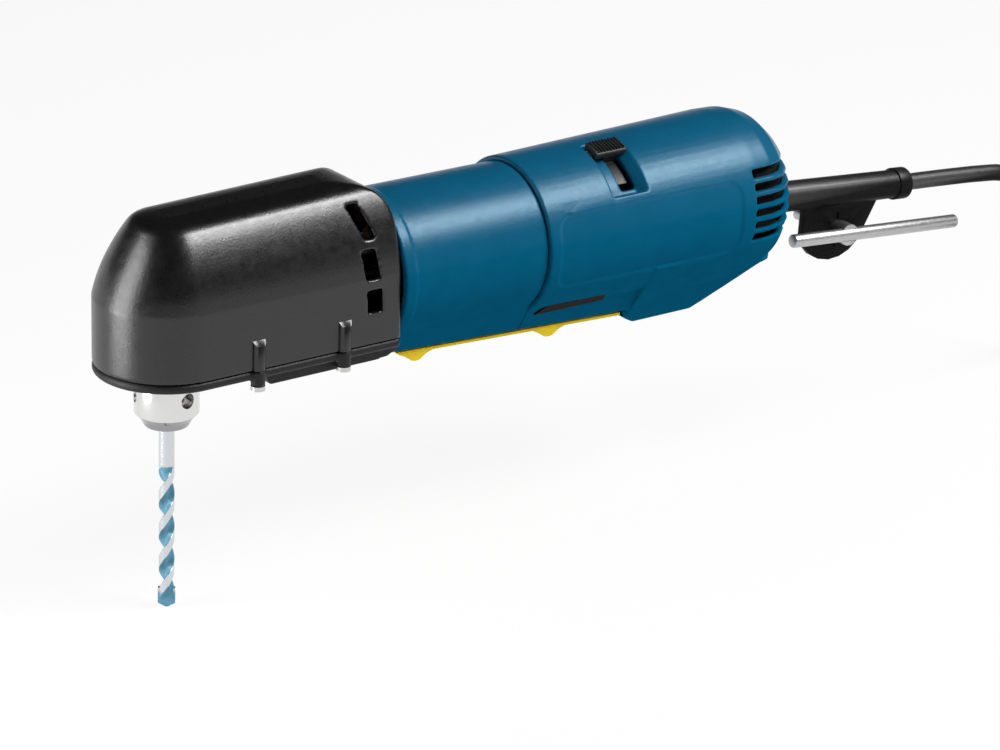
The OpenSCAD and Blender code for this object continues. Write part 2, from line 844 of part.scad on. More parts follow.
module chuck_body() {
    nose_z = -chuck_drop - chuck_bevel;
    color("silver") at_grip() difference() {
        rotate_extrude() polygon([
            [0, nose_z], [nose_end_r, nose_z], [nose_end_r + chuck_bevel / 4, nose_z + chuck_bevel / 2],
            [chuck_r, -chuck_drop], [chuck_r, 0], [journal_wall, 0], [journal_wall, journal_top],
            [upper_wall, journal_top], [upper_wall, chuck_top], [0, chuck_top]]);
        translate([0, 0, nose_z - over]) cylinder(r = chuck_bore_r, h = bore_top - nose_z + over);
        translate([0, 0, thread_z]) cylinder(r = thread_r + seat, h = chuck_top);
        for (a = jaw_angles) at_jaw(a)
            translate([0, 0, -chuck_r]) cylinder(r = jaw_r + run, h = 2 * chuck_r + jaw_len);
        for (a = key_hole_angles) rotate([0, 0, a])
            translate([chuck_r - key_hole_depth, 0, -key_hole_drop]) rotate([0, 90, 0])
                cylinder(r = key_hole_d / 2, h = key_hole_depth + over);
    }
}

// The axis of a jaw, from its foot upwards and outwards
module at_jaw(angle) {
    rotate([0, 0, angle]) translate([jaw_foot_r, 0, -jaw_foot_z]) rotate([0, jaw_tilt, 0]) children();
}

// A jaw, flat where it grips the bit and at its foot
module chuck_jaw(angle) {
    color("darkgray") at_grip() difference() {
        at_jaw(angle) translate([0, 0, -jaw_r]) cylinder(r = jaw_r, h = jaw_len + jaw_r);
        translate([0, 0, -jaw_foot_z - 2 * jaw_r]) cylinder(r = 2 * chuck_r, h = 2 * jaw_r);
        translate([0, 0, -jaw_foot_z - over]) cylinder(r = bit_d / 2 + seat, h = jaw_len);
    }
}

module chuck_jaw_a() {
    chuck_jaw(jaw_angles[0]);
}

module chuck_jaw_b() {
    chuck_jaw(jaw_angles[1]);
}

module chuck_jaw_c() {
    chuck_jaw(jaw_angles[2]);
}

module chuck_sleeve() {
    color("gray") at_grip() difference() {
        translate([0, 0, sleeve_z]) cylinder(r = sleeve_r, h = sleeve_h);
        cylinder(r = journal_wall + run, h = sleeve_h);
        translate([0, 0, sleeve_z + sleeve_lip]) cylinder(r = sleeve_bore_r, h = sleeve_h);
        for (k = [0 : sleeve_teeth - 1]) rotate([0, 0, 360 / sleeve_teeth * k])
            translate([journal_wall + sleeve_tooth_w / 2, -sleeve_tooth_w / 2, sleeve_z - over])
                cube([sleeve_r, sleeve_tooth_w, over + sleeve_tooth_h]);
    }
}

module drill_bit() {
    tip_z = -bit_drop;
    color("steelblue") at_grip() {
        translate([0, 0, tip_z + flute_len]) cylinder(r = bit_d / 2, h = bit_len - flute_len);
        translate([0, 0, tip_z + tip_h / 2])
            linear_extrude(flute_len - tip_h / 2, twist = -360 * (flute_len - tip_h / 2) / bit_lead,
                slices = bit_slices) difference() {
                circle(r = bit_d / 2, $fn = bit_fn);
                for (s = [-1, 1]) translate([s * flute_off, 0]) circle(r = flute_r, $fn = bit_fn);
            }
        intersection() {
            translate([-tip_t / 2, -tip_w / 2, tip_z]) cube([tip_t, tip_w, tip_h]);
            translate([0, 0, tip_z]) union() {
                cylinder(r1 = 0, r2 = tip_w / 2, h = point_h);
                translate([0, 0, point_h]) cylinder(r = tip_w / 2, h = tip_h);
            }
        }
    }
}

module armature_shaft() {
    front = plate_x + plate_t - bearing_lip;
    back = bridge_x + bearing_lip - gap;
    color("silver") at_grip() {
        along(spur_x, axis_h) rotate(180) linear_extrude(spur_face + over)
            polygon(spur_outline(pinion_teeth, spur_module, spur_backlash));
        rod(journal_r, spur_x + spur_face + over, front - spur_x - spur_face - over, axis_h);
        rod(shaft_r, front, back - front, axis_h);
        rod(journal_r, front, bridge_x + bearing_lip + motor_bearing_w - front, axis_h);
    }
}

module armature_core() {
    color("dimgray") at_grip() difference() {
        rod(core_r, core_x, core_len, axis_h);
        rod(shaft_r + seat, core_x - over, core_len + 2 * over, axis_h);
        for (k = [0 : bars - 1]) at_clock(360 / bars * k)
            translate([core_x - over, -bar_gap_w, core_r - bar_gap_d])
                cube([core_len + 2 * over, 2 * bar_gap_w, core_r]);
    }
}

module armature_windings() {
    color("peru") at_grip() for (x = [core_x - winding_len - end_gap, core_x + core_len + end_gap])
        tube(winding_r, shaft_r + seat, x, winding_len, axis_h);
}

module commutator() {
    color("peru") at_grip() difference() {
        tube(commutator_r, shaft_r + seat, commutator_x, commutator_len, axis_h);
        for (k = [0 : bars - 1]) at_clock(360 / bars * k)
            translate([commutator_x - over, -bar_gap_w / 2, commutator_r - bar_gap_d])
                cube([commutator_len + 2 * over, bar_gap_w, commutator_r]);
    }
}

module fan() {
    color("whitesmoke") at_grip() {
        tube(fan_r, shaft_r + seat, fan_x, fan_disc_t, axis_h);
        tube(fan_hub_r, shaft_r + seat, fan_x, fan_len, axis_h);
        for (k = [0 : fan_blades - 1]) at_clock(360 / fan_blades * k)
            translate([fan_x, -fan_blade_t / 2, fan_hub_r - fan_blade_t])
                cube([fan_len, fan_blade_t, fan_r - fan_hub_r]);
    }
}

module field_stack() {
    color("gray") at_grip() tube(field_r, core_r + air_gap, core_x, core_len, axis_h);
}

module field_coils() {
    color("peru") at_grip() for (x = [core_x - winding_len - end_gap, core_x + core_len + end_gap])
        for (a = [0, 180]) along(x, axis_h) rotate(a - coil_span / 2) rotate_extrude(angle = coil_span)
            translate([coil_in_r, 0]) square([coil_out_r - coil_in_r, winding_len]);
}

// An arc of a ring about the motor axis, centred on an angle from the top
module clock_arc(angle, sweep, inner, outer, x, len) {
    along(x, axis_h) rotate(180 + angle - sweep / 2) rotate_extrude(angle = sweep)
        translate([inner, 0]) square([outer - inner, len]);
}

module brush_ring() {
    cap_in = lever_r - recess_depth + gap;
    color("black") at_grip() {
        tube(ring_r, ring_hole_r, ring_x, ring_t, axis_h);
        clock_arc(lever_rest, lever_stem_angle, ring_r - lever_foot, ring_r - lever_thick,
            ring_x + ring_t / 2, stem_x + stem_len - ring_x - ring_t / 2);
        clock_arc(lever_rest, lever_stem_angle, ring_r - lever_foot, cap_in + lever_thick, stem_x, stem_len);
        clock_arc(lever_rest, lever_angle, cap_in, cap_in + lever_rise, lever_x, lever_len);
        for (k = [0 : lever_ridges - 1])
            clock_arc(lever_rest + lever_angle * ((k + 0.5) / lever_ridges - 0.5),
                lever_angle / lever_ridges / 2, cap_in + lever_thick,
                cap_in + lever_rise + lever_ridge_h, lever_x, lever_len);
    }
}

module at_brushes() {
    for (a = [brush_turn, brush_turn + 180]) at_clock(a) children();
}

module brush_holders() {
    color("goldenrod") at_grip() at_brushes() difference() {
        translate([ring_x - holder_len, -holder_w / 2, holder_in])
            cube([holder_len, holder_w, holder_out - holder_in]);
        translate([ring_x - holder_len / 2 - brush_len / 2 - seat, -brush_w / 2 - seat, holder_in - over])
            cube([brush_len + 2 * seat, brush_w + 2 * seat, holder_out]);
    }
}

module brushes() {
    color("black") at_grip() at_brushes() difference() {
        translate([ring_x - holder_len / 2 - brush_len / 2, -brush_w / 2, 0])
            cube([brush_len, brush_w, brush_out]);
        translate([ring_x - holder_len, 0, 0]) rotate([0, 90, 0])
            cylinder(r = commutator_r + run, h = holder_len);
    }
}

// An outline given for one side, with its other side
function mirrored(half) = concat(half, [for (i = [len(half) - 1 : -1 : 0]) [-half[i][0], half[i][1]]]);

// Outer radius of the rear housing at a place along it, before its rear end is drawn in
function rear_radius(x) = rear_r + (rear_wide_r - rear_r) * (x - seam_x) / (wide_x - seam_x);

// Height of the underside of the keel at a place along the drill
function keel_z(x) =
    axis_h - keel_front - (keel_rear - keel_front) * (x - head_len) / (paddle_end_x - head_len);

// The turned form of the rear housing, drawn in by a wall
module rear_turned(wall) {
    far = rear_end - wall;
    along(0, axis_h) rotate_extrude() polygon(concat(
        [[0, seam_x], [rear_r - wall, seam_x], [rear_wide_r - wall, wide_x]],
        [for (i = [0 : len(dome_x_shares) - 1])
            [dome_r_shares[i] * (rear_wide_r - wall), wide_x + dome_x_shares[i] * (far - wide_x)]],
        [[0, far]]));
}

// The belly under the rear housing, drawn in by a wall: its side view, section and plan meet in one form
module belly(wall) {
    intersection() {
        translate([belly_x, 2 * belly_half, axis_h]) rotate([90, 0, 0]) linear_extrude(4 * belly_half)
            offset(delta = -wall)
                polygon([for (p = belly_side_shares) [p[0] * belly_len, -p[1] * belly_drop]]);
        translate([belly_x - over, 0, axis_h]) rotate([90, 0, 90]) linear_extrude(belly_len + 2 * over)
            offset(delta = -wall) polygon(mirrored([for (p = belly_section_shares)
                [p[0] * belly_half, -p[1] * belly_drop]]));
        translate([belly_x, 0, axis_h - 2 * belly_drop]) linear_extrude(2 * belly_drop)
            offset(delta = -wall) rotate(-90) polygon(mirrored([for (p = belly_plan_shares)
                [p[1] * belly_half, p[0] * belly_len]]));
    }
}

module rear_form(wall) {
    rear_turned(wall);
    belly(wall);
}

// The keel that the paddle lies in, from one place along the drill to another
module keel(x, len) {
    hull() {
        for (at = [x, x + len - slab])
            translate([at, -keel_half, keel_z(at)]) cube([slab, 2 * keel_half, slab]);
        translate([x, -keel_wide, axis_h - keel_top]) cube([len, 2 * keel_wide, slab]);
    }
}

// The paddle's channel between the walls of the keel
module channel() {
    translate([head_len - over, -channel_half, -2 * head_h])
        cube([paddle_end_x + gap - head_len + over, 2 * channel_half, 2 * head_h + axis_h]);
}

module pin_hole(r) {
    translate([pin_x, 0, axis_h - pin_drop]) rotate([90, 0, 0])
        cylinder(r = r, h = 2 * keel_half + 2 * over, center = true);
}

module at_housing_screws() {
    for (a = housing_screw_angles) at_clock(a)
        translate([seam_x + spigot_len / 2, 0, rear_radius(seam_x) - housing_screw_head_h]) children();
}

module motor_housing() {
    color("steelblue") at_grip() difference() {
        union() {
            rod(front_r, head_len, front_len, axis_h);
            rod(front_r + flange_h, head_len, flange_w, axis_h);
            rod(front_r - shell + spigot_wall, head_len, front_len + spigot_len, axis_h);
            difference() {
                keel(head_len, front_len);
                channel();
            }
        }
        rod(front_r - shell, head_len - over, front_len + spigot_len + 2 * over, axis_h);
        pin_hole(pin_r + seat);
        at_housing_screws() translate([0, 0, -housing_screw_len - over])
            cylinder(r = housing_screw_r + seat, h = housing_screw_len + over);
    }
}

// The rear housing's own walls and openings
// The shallow panel in the side of the rear housing, with round corners
module panel() {
    front = seam_x + panel_front;
    run_len = rear_end - panel_back - front;
    intersection() {
        difference() {
            along(0, axis_h) rotate_extrude() polygon([for (end = [0, 1], side = [end, 1 - end])
                let (x = front + (end == 0 ? -over : run_len + over))
                    [rear_radius(x) + (side == 0 ? -panel_depth : over), x]]);
            translate([0, 0, -head_h]) cube([2 * rear_end, 2 * rear_wide_r, 3 * head_h]);
        }
        translate([front, 0, axis_h - panel_low]) rotate([90, 0, 0]) linear_extrude(2 * rear_wide_r)
            translate([panel_corner, panel_corner]) offset(r = panel_corner, $fn = form_fn)
                square([run_len - 2 * panel_corner, panel_low + panel_high - 2 * panel_corner]);
    }
}

module rear_shell() {
    difference() {
        union() {
            rear_form(0);
            difference() {
                keel(seam_x, belly_x + shell / 2 - seam_x);
                channel();
            }
        }
        rear_turned(shell);
        along(seam_x - over, axis_h) cylinder(r = rear_r - shell, h = 2 * over);
        belly(shell);
        for (i = [0 : vent_count - 1]) both_sides()
            translate([vent_x, -2 * rear_wide_r, vent_low + i * vent_pitch])
                cube([vent_run, 2 * rear_wide_r - vent_y, vent_h]);
        both_sides() panel();
        clock_arc(lever_rest + lever_swing / 2, lever_swing + lever_angle + 2 * recess_angle,
            lever_r - recess_depth, lever_r + recess_depth,
            lever_x - recess_margin, lever_len + 2 * recess_margin);
        clock_arc(lever_rest + lever_swing / 2, lever_swing + lever_stem_angle + 2 * slot_gap_angle,
            lever_r - 2 * shell, lever_r + recess_depth, stem_x - gap, stem_len + 2 * gap);
        translate([paddle_end_x, -arm_half - arm_gap, keel_z(paddle_end_x) - arm_t])
            cube([belly_gap + 2 * shell, 2 * (arm_half + arm_gap), paddle_stroke + 2 * arm_t]);
        inlay_form(inlay_gap, inlay_t);
        at_sleeve() translate([0, 0, -2 * shell]) cylinder(r = cord_sleeve_r + gap, h = 4 * shell);
        at_housing_screws() {
            translate([0, 0, -housing_screw_len])
                cylinder(r = housing_screw_r + seat, h = housing_screw_len + over);
            cylinder(r = housing_screw_head_r + seat, h = housing_screw_head_h + over);
        }
    }
}

// The wall that carries the rear motor bearing
module bearing_bridge() {
    difference() {
        rod(rear_radius(bridge_x) - shell + bridge_sink, bridge_x, bridge_t, axis_h);
        rod(motor_bearing_r + seat, bridge_x + bearing_lip, bridge_t, axis_h);
        rod(shaft_r + bearing_lip, bridge_x - over, bridge_t, axis_h);
        for (k = [0 : bridge_windows - 1]) at_clock(360 / bridge_windows * k)
            translate([bridge_x - over, 0, bridge_window_at]) rotate([0, 90, 0])
                cylinder(r = bridge_window_r, h = bridge_t + 2 * over);
    }
}

module rear_housing() {
    color("steelblue") at_grip() {
        rear_shell();
        bearing_bridge();
        tube(rear_radius(ring_x) - shell + bridge_sink, ring_r + run, ring_x, ring_t, axis_h);
        intersection() {
            rear_form(shell / 2);
            union() {
                both_sides() translate([switch_x + switch_len / 3, switch_half + gap, axis_h - keel_top])
                    cube([rib_t, rear_wide_r, rib_t]);
                difference() {
                    translate([clamp_x, -clamp_half, -head_h])
                        cube([clamp_len, 2 * clamp_half, head_h + clamp_z]);
                    inner_lead_form(lead_r + seat, over);
                    at_clamp_screws() translate([0, 0, -clamp_screw_len])
                        cylinder(r = clamp_screw_r + seat, h = clamp_screw_len + over);
                }
            }
        }
    }
}

module housing_screws() {
    color("silver") at_grip() at_housing_screws() {
        translate([0, 0, -housing_screw_len]) cylinder(r = housing_screw_r, h = housing_screw_len);
        cylinder(r = housing_screw_head_r, h = housing_screw_head_h);
    }
}

// The inlay on the slanted side of the keel, or with a margin the pocket that it lies in
module inlay_form(margin, proud) {
    low = keel_z(inlay_x);
    slope = atan((keel_wide - keel_half) / (axis_h - keel_top - low));
    translate([inlay_x, -keel_half, low]) rotate([slope, 0, 0]) translate([0, 0, inlay_rise])
        rotate([90, 0, 0]) translate([0, 0, -inlay_sink - margin]) linear_extrude(inlay_sink + margin + proud)
            offset(delta = margin)
                polygon([[0, 0], [inlay_len, 0], [inlay_len, inlay_h], [inlay_slant, inlay_h]]);
}

module side_inlay() {
    color("black") at_grip() inlay_form(0, inlay_t - inlay_sink);
}

// Side view of the paddle, with its two finger bumps
function paddle_outline() =
    let (x0 = head_len + paddle_front, x1 = paddle_end_x, run_len = x1 - x0)
        concat(
            [[x0, keel_z(x0) + paddle_in], [x1, keel_z(x1) + paddle_in], [x1, keel_z(x1) - paddle_show]],
            [for (b = [1, 0], i = [len(bump_run_shares) - 1 : -1 : 0])
                let (x = x0 + bump_x_shares[b] * run_len + bump_run_shares[i] * bump_half)
                    [x, keel_z(x) - paddle_show - bump_rise_shares[i] * bump_h]],
            [[x0 + paddle_lead, keel_z(x0 + paddle_lead)], [x0, keel_z(x0)]]);

module paddle() {
    arm_z = keel_z(paddle_end_x) + paddle_in - arm_t;
    color("gold") at_grip() difference() {
        union() {
            translate([0, paddle_half, 0]) rotate([90, 0, 0]) linear_extrude(2 * paddle_half)
                polygon(paddle_outline());
            translate([pin_x, 0, axis_h - pin_drop]) rotate([90, 0, 0])
                cylinder(r = pin_boss_r, h = 2 * paddle_half, center = true);
            translate([paddle_end_x - arm_half, -arm_half, arm_z])
                cube([arm_x - paddle_end_x + arm_half, 2 * arm_half, arm_t]);
        }
        pin_hole(pin_r + run);
    }
}

module paddle_pin() {
    color("silver") at_grip() translate([pin_x, 0, axis_h - pin_drop]) rotate([90, 0, 0])
        cylinder(r = pin_r, h = 2 * keel_half, center = true);
}

module switch_body() {
    color("dimgray") at_grip() difference() {
        translate([switch_x, -switch_half, axis_h - switch_drop])
            cube([switch_len, 2 * switch_half, switch_h]);
        translate([plunger_x, 0, axis_h - switch_drop - over])
            cylinder(r = plunger_r + run, h = plunger_well + over);
    }
}

module switch_plunger() {
    color("black") at_grip() translate([plunger_x, 0, keel_z(paddle_end_x) + paddle_in + plunger_gap])
        cylinder(r = plunger_r, h = plunger_len);
}

// The axis of the cord sleeve, from the rear end of the housing outwards
module at_sleeve() {
    translate([rear_end, 0, sleeve_root_z]) rotate([0, 90 + sleeve_tilt, 0]) children();
}

module cord_sleeve() {
    color("black") at_grip() at_sleeve() difference() {
        union() {
            translate([0, 0, -sleeve_in]) cylinder(r = cord_sleeve_r, h = sleeve_in);
            cylinder(r1 = cord_sleeve_r, r2 = cord_sleeve_end_r, h = sleeve_len);
            translate([0, 0, sleeve_len - collar_len])
                cylinder(r = cord_sleeve_end_r + collar_rise, h = collar_len);
            translate([0, 0, -sleeve_in]) cylinder(r = flange_r, h = flange_t);
            translate([0, flap_t / 2, 0]) rotate([90, 0, 0]) linear_extrude(flap_t)
                polygon([for (p = flap_shares) [p[0] * flap_drop, flap_x + p[1] * flap_w]]);
        }
        translate([key_drop, 0, key_x]) rotate([90, 0, 0]) {
            cylinder(r = flap_hole_r, h = 2 * flap_t, center = true);
            for (k = [0 : flap_slits - 1]) rotate([0, 0, 360 / flap_slits * k])
                translate([0, -flap_slit_w / 2, -flap_t]) cube([flap_slit_len, flap_slit_w, 2 * flap_t]);
        }
    }
}

// The lead inside the housing, from the switch to the cord sleeve
module inner_lead_form(r, extra) {
    at_sleeve() translate([0, 0, -(rear_end - switch_x - switch_len) + gap - extra])
        cylinder(r = r, h = rear_end - switch_x - switch_len - sleeve_in - gap + 2 * extra);
}

module inner_lead() {
    color("black") at_grip() inner_lead_form(lead_r, 0);
}

module at_clamp_screws() {
    for (side = [-1, 1]) translate([clamp_x + clamp_len / 2, side * clamp_screw_at, clamp_z]) children();
}

module cord_clamp() {
    color("dimgray") at_grip() difference() {
        translate([clamp_x, -clamp_half, clamp_z]) cube([clamp_len, 2 * clamp_half, clamp_t]);
        inner_lead_form(lead_r + seat, over);
        at_clamp_screws() translate([0, 0, -over]) cylinder(r = clamp_screw_r + seat, h = clamp_t + 2 * over);
    }
}

module clamp_screws() {
    color("silver") at_grip() at_clamp_screws() {
        translate([0, 0, -clamp_screw_len]) cylinder(r = clamp_screw_r, h = clamp_screw_len + clamp_t);
        translate([0, 0, clamp_t]) cylinder(r = clamp_screw_head_r, h = clamp_screw_head_h);
    }
}

// The key's axis crosses the flap; its pinion is on the far side
module at_key() {
    at_sleeve() translate([key_drop, -key_head_y - key_head_len, key_x]) rotate([-90, 0, 0]) children();
}

module chuck_key() {
    neck_z = key_head_len;
    pinion_z = neck_z + key_neck_len;
    color("silver") at_grip() at_key() difference() {
        union() {
            cylinder(r = key_head_r, h = key_head_len);
            cylinder(r = key_neck_r, h = pinion_z);
            translate([0, 0, pinion_z]) cylinder(r1 = key_pinion_r, r2 = key_pinion_end_r, h = key_pinion_len);
            cylinder(r = key_hole_d / 2 - run, h = pinion_z + key_pinion_len + key_pilot_len);
        }
        for (k = [0 : key_teeth - 1]) rotate([0, 0, 360 / key_teeth * k])
            translate([key_pinion_r - key_tooth_d, 0, pinion_z]) rotate([0, -key_cone, 0])
                translate([0, -key_tooth_w / 2, -over]) cube([key_pinion_r, key_tooth_w, 2 * key_pinion_len]);
        translate([0, 0, key_bar_in]) rotate([90, 0, 0])
            cylinder(r = key_bar_d / 2 + run, h = 4 * key_head_r, center = true);
    }
}

module key_bar() {
    color("silver") at_grip() at_key() translate([0, -key_bar_shift, key_bar_in]) rotate([90, 0, 0])
        cylinder(r = key_bar_d / 2, h = key_bar_len, center = true);
}

function unit(v) = v / norm(v);

// Runs smoothly from 0 to 1
function ease(f) = let (c = max(0, min(1, f))) c * c * (3 - 2 * c);

// Radius and height of the coil after some turns
function loop_radius(t) =
    let (layer = floor(t / layer_turns), share = t / layer_turns - layer)
        layer % 2 == 0 ? loop_out_r - (loop_out_r - loop_in_r) * share
        : loop_in_r + (loop_out_r - loop_in_r) * share;

function layers_climbed(t, layer) =
    layer == 0 ? 0
    : ease((t - layer * layer_turns) / climb_turns + 0.5) + layers_climbed(t, layer - 1);

function loop_height(t) =
    loop_z + loop_pitch * layers_climbed(t, loop_layers - 1)
        + plug_rise * ease((t - loop_turns) / rise_turns + 1);

function loop_point(t) =
    let (a = 90 - 360 * t)
        [loop_x + loop_radius(t) * cos(a), loop_y + loop_radius(t) * sin(a), loop_height(t)];

function loop_path() = concat(
    [loop_start],
    [for (i = [0 : loop_turns * loop_rings]) loop_point(i / loop_rings)],
    [plug_at]);

// Least gap between one turn and another, measured between the rings
function loop_least(path) =
    min([for (i = [1 : len(path) - 2]) for (j = [i + loop_rings / 2 : 1 : len(path) - 2])
        norm(path[i] - path[j])]) - cord_d;

// A tube along a path, with the headings of its two ends given
module swept(path, first, last, r, sides, aside) {
    n = len(path);
    points = [for (i = [0 : n - 1]) let (
        heading = i == 0 ? first : i == n - 1 ? last : unit(path[i + 1] - path[i - 1]),
        side = unit(cross(aside, heading)),
        up = cross(heading, side))
        for (k = [0 : sides - 1]) let (a = 360 / sides * (k + 0.5))
            path[i] + r * (cos(a) * side + sin(a) * up)];
    walls = [for (i = [0 : n - 2]) for (k = [0 : sides - 1]) for (half = [0, 1]) let (
        a = i * sides + k, b = i * sides + (k + 1) % sides)
        half == 0 ? [a, a + sides, b + sides] : [a, b + sides, b]];
    caps = [for (k = [1 : sides - 2]) for (end = [0, 1]) let (a = (n - 1) * sides)
        end == 0 ? [0, k, k + 1] : [a, a + k + 1, a + k]];
    polyhedron(points = points, faces = concat(walls, caps), convexity = 10);
}

module cord() {
    color("black") swept(concat([cord_start], cord_route, [loop_start]),
        [cos(sleeve_tilt), 0, -sin(sleeve_tilt)], [1, 0, 0], cord_d / 2, cord_sides, [0, 1, 0]);
}

module cord_coil() {
    path = loop_path();
    echo(least_gap_of_the_coil_to_itself = loop_least(path));
    color("black") swept(path, [1, 0, 0], [-1, 0, 0], cord_d / 2, loop_sides, [0, 0, 1]);
}

// A band round the wound turns, on the side away from the drill
module cord_tie() {
    in_r = loop_in_r + loop_pitch / 4 - cord_d / 2 - gap;
    out_r = loop_out_r - loop_pitch / 4 + cord_d / 2 + gap;
    low = loop_z - cord_d / 2 - tie_gap;
    high = loop_z + (loop_layers - 1) * loop_pitch + cord_d / 2 + gap;
    color("dimgray") difference() {
        translate([loop_x + in_r - tie_t, loop_y - tie_w / 2, low - tie_t])
            cube([out_r - in_r + 2 * tie_t, tie_w, high - low + 2 * tie_t]);
        translate([loop_x + in_r, loop_y - tie_w, low]) cube([out_r - in_r, 2 * tie_w, high - low]);
    }
}

// The plug's axis, from the end of the cord towards its pins
module at_plug(far) {
    translate(plug_at) rotate([0, -90, 0]) translate([0, 0, far]) children();
}

module at_pins() {
    at_plug(plug_neck + plug_len - pin_sunk)
        for (side = [-1, 1]) translate([0, side * plug_pin_gap / 2, 0]) children();
}

module plug() {
    color("black") difference() {
        union() {
            at_plug(0) cylinder(r1 = plug_neck_r, r2 = plug_half_h, h = plug_neck);
            at_plug(plug_neck) {
                translate([-plug_half_h, plug_half_h - plug_half_w, 0])
                    cube([2 * plug_half_h, 2 * (plug_half_w - plug_half_h), plug_len]);
                for (side = [-1, 1]) translate([0, side * (plug_half_w - plug_half_h), 0])
                    cylinder(r = plug_half_h, h = plug_len);
            }
        }
        at_pins() cylinder(r = plug_pin_d / 2 - pin_step + seat, h = pin_sunk + over);
    }
}

module plug_pins() {
    color("silver") at_pins() {
        cylinder(r = plug_pin_d / 2 - pin_step, h = pin_sunk + 2 * pin_stand);
        translate([0, 0, pin_sunk + pin_stand])
            cylinder(r = plug_pin_d / 2, h = plug_pin_len - pin_tip - pin_stand);
        translate([0, 0, pin_sunk + plug_pin_len - pin_tip])
            cylinder(r1 = plug_pin_d / 2, r2 = plug_pin_d / 2 - pin_tip / 2, h = pin_tip);
    }
}

head_cover();
head_base();
head_screws();
gear_case();
bearing_plate();
spindle();
crown_gear();
spindle_lower_bearing();
spindle_upper_bearing();
layshaft();
spur_gear();
layshaft_front_bearing();
layshaft_rear_bearing();
chuck_body();
chuck_sleeve();
chuck_jaw_a();
chuck_jaw_b();
chuck_jaw_c();
drill_bit();
armature_shaft();
armature_core();
armature_windings();
commutator();
fan();
motor_front_bearing();
motor_rear_bearing();
field_stack();
field_coils();
brush_ring();
brush_holders();
brushes();
motor_housing();
rear_housing();
housing_screws();
side_inlay();
paddle();
paddle_pin();
switch_body();
switch_plunger();
cord_sleeve();
inner_lead();
cord_clamp();
clamp_screws();
chuck_key();
key_bar();
cord();
cord_coil();
cord_tie();
plug();
plug_pins();
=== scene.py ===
import bpy
import bmesh
import math
from mathutils import Matrix, Vector


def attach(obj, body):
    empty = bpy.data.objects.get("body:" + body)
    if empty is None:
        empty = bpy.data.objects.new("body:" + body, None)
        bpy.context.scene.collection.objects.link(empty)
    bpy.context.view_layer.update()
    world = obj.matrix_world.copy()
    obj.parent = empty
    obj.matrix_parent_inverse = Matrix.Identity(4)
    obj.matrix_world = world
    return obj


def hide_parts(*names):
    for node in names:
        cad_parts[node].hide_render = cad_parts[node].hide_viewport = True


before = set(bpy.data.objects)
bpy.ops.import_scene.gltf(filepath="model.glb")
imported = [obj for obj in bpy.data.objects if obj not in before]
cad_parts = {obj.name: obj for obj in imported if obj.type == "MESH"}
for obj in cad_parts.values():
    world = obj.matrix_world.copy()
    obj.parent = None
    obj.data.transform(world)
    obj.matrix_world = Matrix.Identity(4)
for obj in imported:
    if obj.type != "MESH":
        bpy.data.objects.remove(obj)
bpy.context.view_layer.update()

# The view: a long lens looks down on the drill from its nose side, with the
# cord running out of the right edge of the frame.
scene = bpy.context.scene
mm = 0.001
view_turn, view_tip, view_roll = math.radians(36.7), math.radians(21.5), math.radians(1.9)
view_far, view_aside, view_up = 1500 * mm, -125.0 * mm, 2.6 * mm


def at(x, y, z):
    """A place in millimetres from the middle of the chuck, where it meets the head."""
    return Vector((x - 120, y, z - 24.5)) * mm


ahead = Vector((math.sin(view_turn) * math.cos(view_tip), math.cos(view_turn) * math.cos(view_tip),
                -math.sin(view_tip)))
level = Vector((math.cos(view_turn), -math.sin(view_turn), 0))
upright = level.cross(ahead)
right = math.cos(view_roll) * level + math.sin(view_roll) * upright
up = -math.sin(view_roll) * level + math.cos(view_roll) * upright
lens = bpy.data.cameras.new("photo_view")
lens.sensor_fit = "HORIZONTAL"
lens.sensor_width = 36
lens.lens = 144
lens.clip_start, lens.clip_end = 0.05, 20
camera = bpy.data.objects.new("photo_view", lens)
scene.collection.objects.link(camera)
turn = Matrix((right, up, -ahead)).transposed().to_4x4()
camera.matrix_world = Matrix.Translation(at(0, 0, 0) - view_aside * right - view_up * up - view_far * ahead) @ turn
scene.camera = camera

# The supply cord: a round black rubber lead that leaves the sleeve, falls to the
# surface under the bit and is put away there as a neat coil of eight and a half turns.
cord_d = 7.2
floor_z = -98.2 - 24.5
cord_exit = (166.5 + 79.5 * math.cos(math.radians(4.6)), 0,
             15.9 - 79.5 * math.sin(math.radians(4.6)) - 24.5)
cord_route = [cord_exit, (260, 0, -16), (275, 0, -17.2), (290, 0, -18.6), (303, 0, -20.5), (316, 1.5, -26),
              (326.5, 3.5, -36), (333.5, 6, -49.5), (338.5, 9, -64.5), (342, 12, -80), (347, 16, -94),
              (356, 21, -106), (369, 25, -114), (382, 27, -117)]
coil_x, coil_y, coil_in_r, coil_pitch = 400, -20, 28.9, 7.7
coil_layer_turns, coil_turns, coil_points = 2.5, 8.5, 24
coil_out_r = coil_in_r + coil_layer_turns * coil_pitch
coil_z = floor_z + 1.2 + cord_d / 2
plug_rise = 10.9


def eased(f):
    """A share that starts and ends gently."""
    f = max(0.0, min(1.0, f))
    return f * f * (3 - 2 * f)


def coil_place(turns):
    """The middle of the lead after so many turns of the coil."""
    layer = math.floor(turns / coil_layer_turns)
    share = turns / coil_layer_turns - layer
    r = coil_out_r - (coil_out_r - coil_in_r) * (share if layer % 2 == 0 else 1 - share)
    climbed = sum(eased((turns - n * coil_layer_turns) / 0.5 + 0.5) for n in (1, 2, 3))
    z = coil_z + coil_pitch * climbed + plug_rise * eased((turns - coil_turns) / 0.25 + 1)
    a = math.radians(90 - 360 * turns)
    return coil_x + r * math.cos(a), coil_y + r * math.sin(a), z


